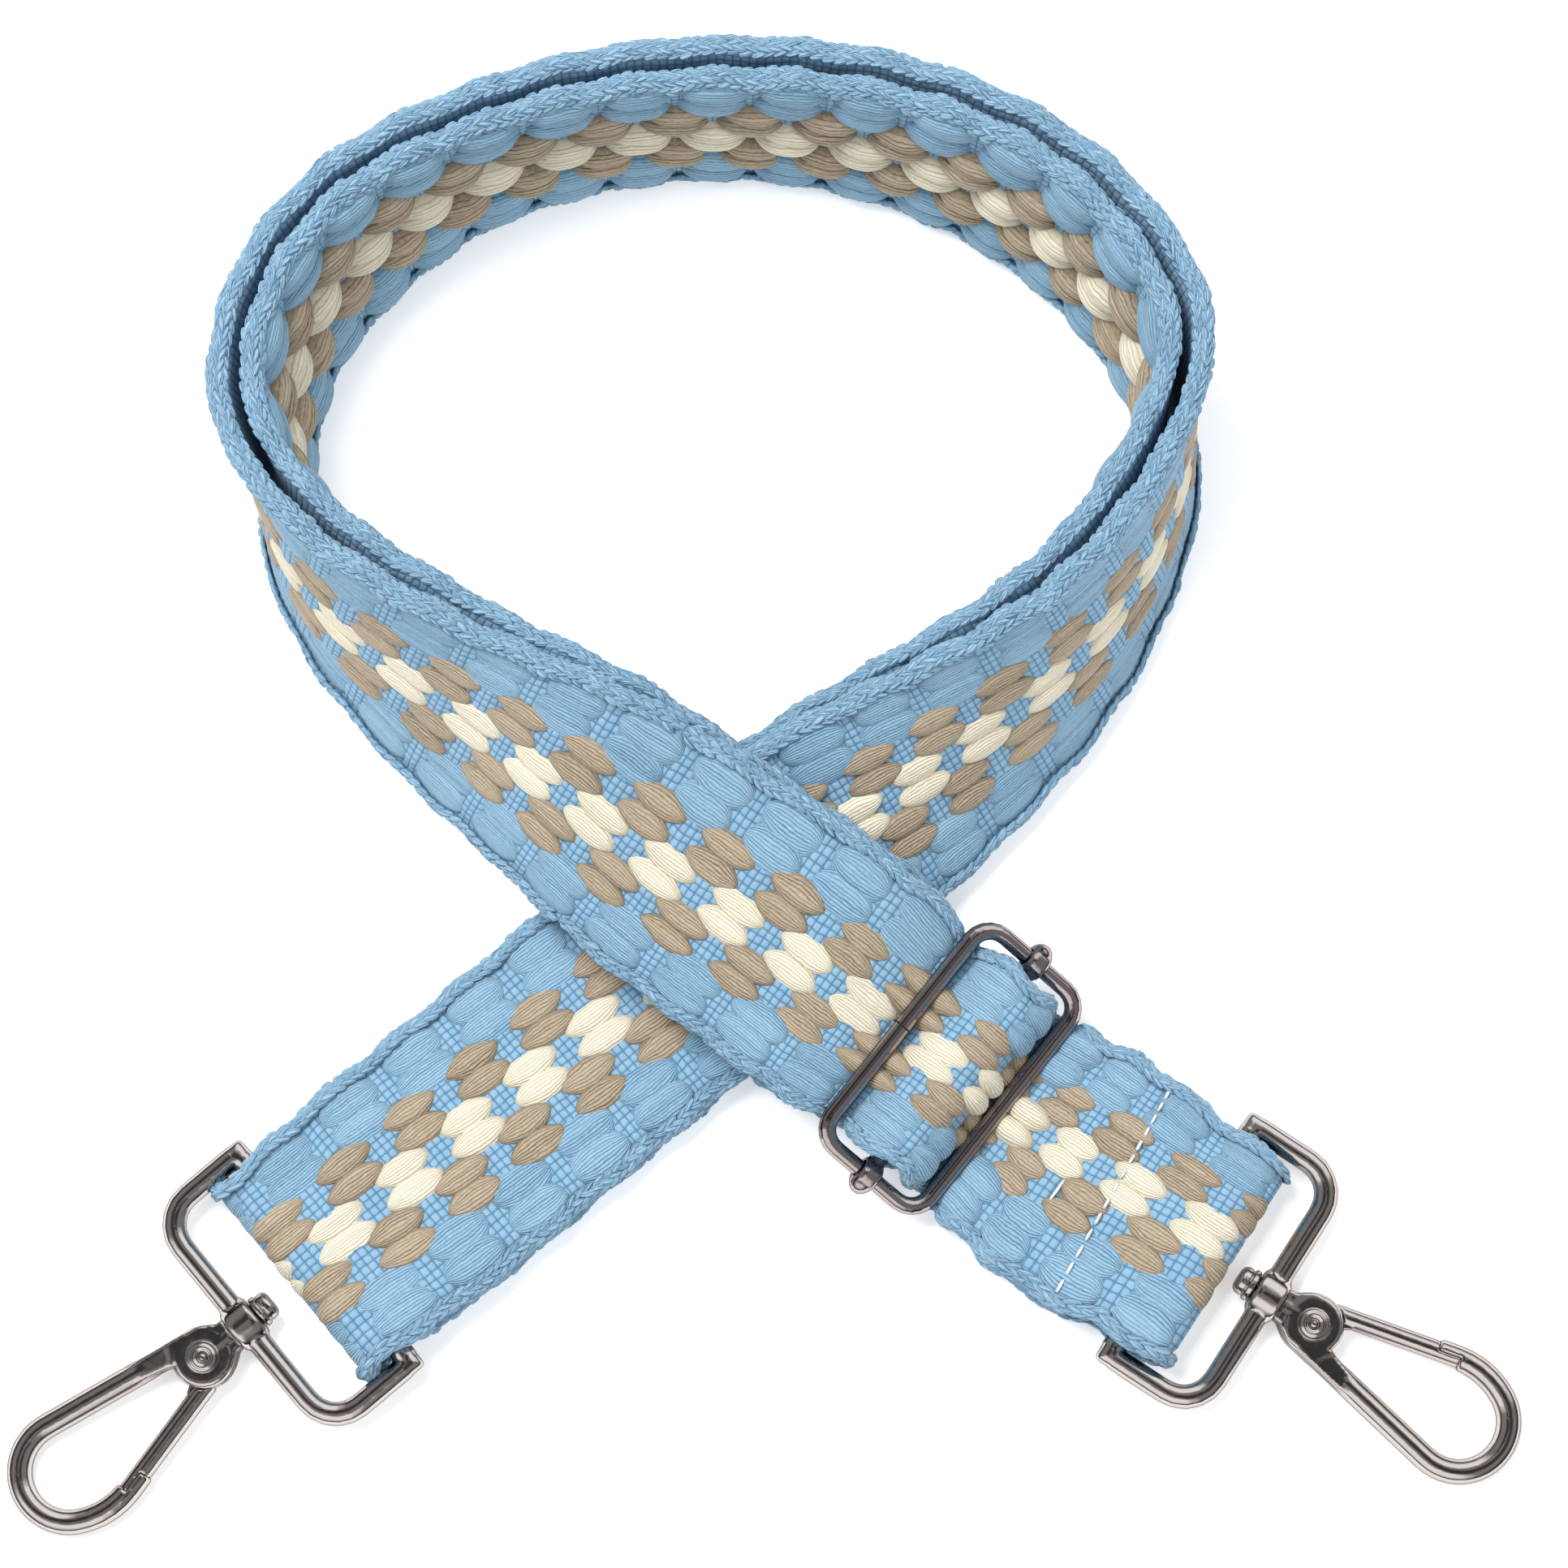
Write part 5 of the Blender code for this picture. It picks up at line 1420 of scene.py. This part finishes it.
# Painted shadow: the near-black colour stands in for the shade in the joint's hairline gap.
JOINT_SHADOW_COLOR = (0.012, 0.011, 0.011, 1)
bm = bmesh.new()
bmesh.ops.create_cone(
    bm, cap_ends=True, segments=48, radius1=JOINT_RADIUS, radius2=JOINT_RADIUS, depth=JOINT_THICK
)
joint_shadow_disc = add_to_scene("slider_joint_shadow", mesh_of(bm, "slider_joint_shadow"))
joint_turn = SLIDER_ALONG.to_track_quat("Z", "X").to_matrix().to_4x4()
joint_shadow_disc.matrix_world = STRETCHES["slider_frame"] @ Matrix.Translation(JOINT_PLACE) @ joint_turn
joint_shadow = bpy.data.materials.new("joint_shadow")
joint_shadow.use_nodes = True
set_values(joint_shadow.node_tree.nodes["Principled BSDF"], {"Base Color": JOINT_SHADOW_COLOR})
joint_shadow_disc.data.materials.append(joint_shadow)
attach(joint_shadow_disc, "slider_frame")
print(joint_shadow_disc.name, "at", [round(1000 * value, 1) for value in JOINT_PLACE], "mm")

# %% [markdown]
# The gate springs and the hidden seam keep their CAD shapes, because they hardly show. They only get their finish.

# %% Finish the hidden pieces
HIDDEN = {"left_gate_spring": spring_steel, "right_gate_spring": spring_steel, "slider_end_seam": thread}
for name, finish in HIDDEN.items():
    nodes[name].data.materials.clear()
    nodes[name].data.materials.append(finish)
    print(f"  {name}: {finish.name}")

# %% [markdown]
# ## Gate rivets
#
# The rivet that carries the gate is set in both faces of the plate. Its head is a raised ring with a dimple
# punched in the middle. It is a turned part, so one profile, from the dimple over the ring to the shank and on
# to the other head, is spun round the pin's axis. A bevelled cylinder would be quicker, but it has no ring to
# catch the light.

# %% Turn the gate rivets
# The head's profile in millimetres: radius and height over the plate's middle.
HEAD_PROFILE = (
    (0.28, 2.52), (0.40, 2.58), (0.52, 2.62), (0.68, 2.60), (0.85, 2.54), (1.02, 2.56), (1.20, 2.68), (1.36, 2.80),
    (1.52, 2.85), (1.68, 2.82), (1.84, 2.72), (1.98, 2.60), (2.20, 2.57), (2.42, 2.55), (2.58, 2.46), (2.50, 2.30),
    (1.15, 2.05),
)
DIMPLE_SUNK = 0.04
RIVET_TURNS = 64
PLATE_MIDDLE = 7.9


def turned_rivet(name, place):
    """A pin with a ringed, dimpled head at each end, turned from HEAD_PROFILE about the plate's middle."""
    profile = [*HEAD_PROFILE, *((radius, -up) for radius, up in HEAD_PROFILE[::-1])]
    turn = np.linspace(0, math.tau, RIVET_TURNS, endpoint=False)
    points = [(PLATE_MIDDLE + radius * np.cos(t), radius * np.sin(t), up) for radius, up in profile for t in turn]
    index = np.arange(len(points)).reshape(len(profile), RIVET_TURNS)
    after = np.roll(index, -1, axis=1)
    faces = np.stack([index[:-1], index[1:], after[1:], after[:-1]], axis=-1).reshape(-1, 4).tolist()
    top, foot = len(points), len(points) + 1
    points += [(PLATE_MIDDLE, 0, profile[0][1] - DIMPLE_SUNK), (PLATE_MIDDLE, 0, profile[-1][1] + DIMPLE_SUNK)]
    faces += [(top, *pair) for pair in zip(index[0].tolist(), after[0].tolist())]
    faces += [(foot, *pair) for pair in zip(after[-1].tolist(), index[-1].tolist())]
    mesh = bpy.data.meshes.new(name)
    mesh.from_pydata([place @ (Vector(point) / 1000) for point in points], [], faces)
    mesh.materials.append(nickel)
    mesh.shade_smooth()
    return add_to_scene(name, mesh)


for side in SIDES:
    rivet = turned_rivet(f"turned_{side}_gate_rivet", HOOK_PLACES[side])
    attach(rivet, f"{side}_hook")
    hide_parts(f"{side}_gate_rivet")
    print(f"  {rivet.name}: {len(rivet.data.polygons)} faces")

# %% [markdown]
# ## Light and floor
#
# A white table in a white room: a big soft light above and a little behind, and a white surround. The metal needs
# something to mirror, so for mirrored rays the surround darkens towards the horizon.

# %% Lay the floor
FLOOR_HALF = 3
FLOOR_WHITE = {
    "Base Color": (0.96, 0.96, 0.96, 1), "Roughness": 0.9, "Specular IOR Level": 0.0,
    "Emission Color": (1, 1, 1, 1), "Emission Strength": 0.3,
}
floor_mesh = bpy.data.meshes.new("floor")
floor_corners = [(x * FLOOR_HALF, y * FLOOR_HALF, 0) for x, y in ((-1, -1), (1, -1), (1, 1), (-1, 1))]
floor_mesh.from_pydata(floor_corners, [], [(0, 1, 2, 3)])
floor = add_to_scene("floor", floor_mesh)
floor.location.z = -0.0001
floor_paint = bpy.data.materials.new("floor_paint")
floor_paint.use_nodes = True
set_values(floor_paint.node_tree.nodes["Principled BSDF"], FLOOR_WHITE)
floor_mesh.materials.append(floor_paint)
print("floor:", 2 * FLOOR_HALF, "m wide")

# %% Hang the lights


def area_light(name, place, target, size, power):
    """A square soft light aimed at a point."""
    made = add_to_scene(name, bpy.data.lights.new(name, "AREA"))
    made.data.shape = "SQUARE"
    made.data.size = size
    made.data.energy = power
    made.location = place
    made.rotation_euler = (Vector(target) - Vector(place)).to_track_quat("-Z", "Y").to_euler()
    return made


for light_name, light_place, light_size, light_power in (
    ("key_light", (-0.5, 0.4, 1.3), 0.7, 22),
    ("fill_light", (0.8, -0.5, 1.1), 0.8, 5),
):
    area_light(light_name, light_place, (0, 0, 0), light_size, light_power).visible_glossy = False
print("lights:", [(lamp.name, lamp.energy) for lamp in bpy.data.lights])

# %% Paint the room
world = bpy.data.worlds.new("white_room")
bpy.context.scene.world = world
world.use_nodes = True
tree = world.node_tree
background = tree.nodes["Background"]
direction = node(tree, "ShaderNodeSeparateXYZ", {0: node(tree, "ShaderNodeTexCoord").outputs["Generated"]})
ceiling = spread(direction.outputs[2], 0.93, 0.80, tree, 0.20, 1.0)
wall = spread(direction.outputs[2], 0.15, 0.45, tree, 0.05, 1.0)
turn = node(tree, "ShaderNodeMath", {0: direction.outputs[1], 1: direction.outputs[0]}, operation="ARCTAN2").outputs[0]
panels = spread(maths(tree, "SINE", maths(tree, "MULTIPLY_ADD", turn, 2.0, -0.7)), -0.35, 0.25, tree, 0.22, 1.0)
room = maths(tree, "MULTIPLY", maths(tree, "MULTIPLY", ceiling, wall), maths(tree, "MULTIPLY", panels, 1.5))
rays = node(tree, "ShaderNodeLightPath")
even = mix(tree, rays.outputs["Is Glossy Ray"], (0.58, 0.59, 0.61, 1), room)
seen = mix(tree, rays.outputs["Is Camera Ray"], even, (1, 1, 1, 1))
tree.links.new(seen, background.inputs["Color"])
background.inputs["Strength"].default_value = 1.0
bpy.context.scene.view_settings.view_transform = "Standard"
print("room:", len(tree.nodes), "nodes")
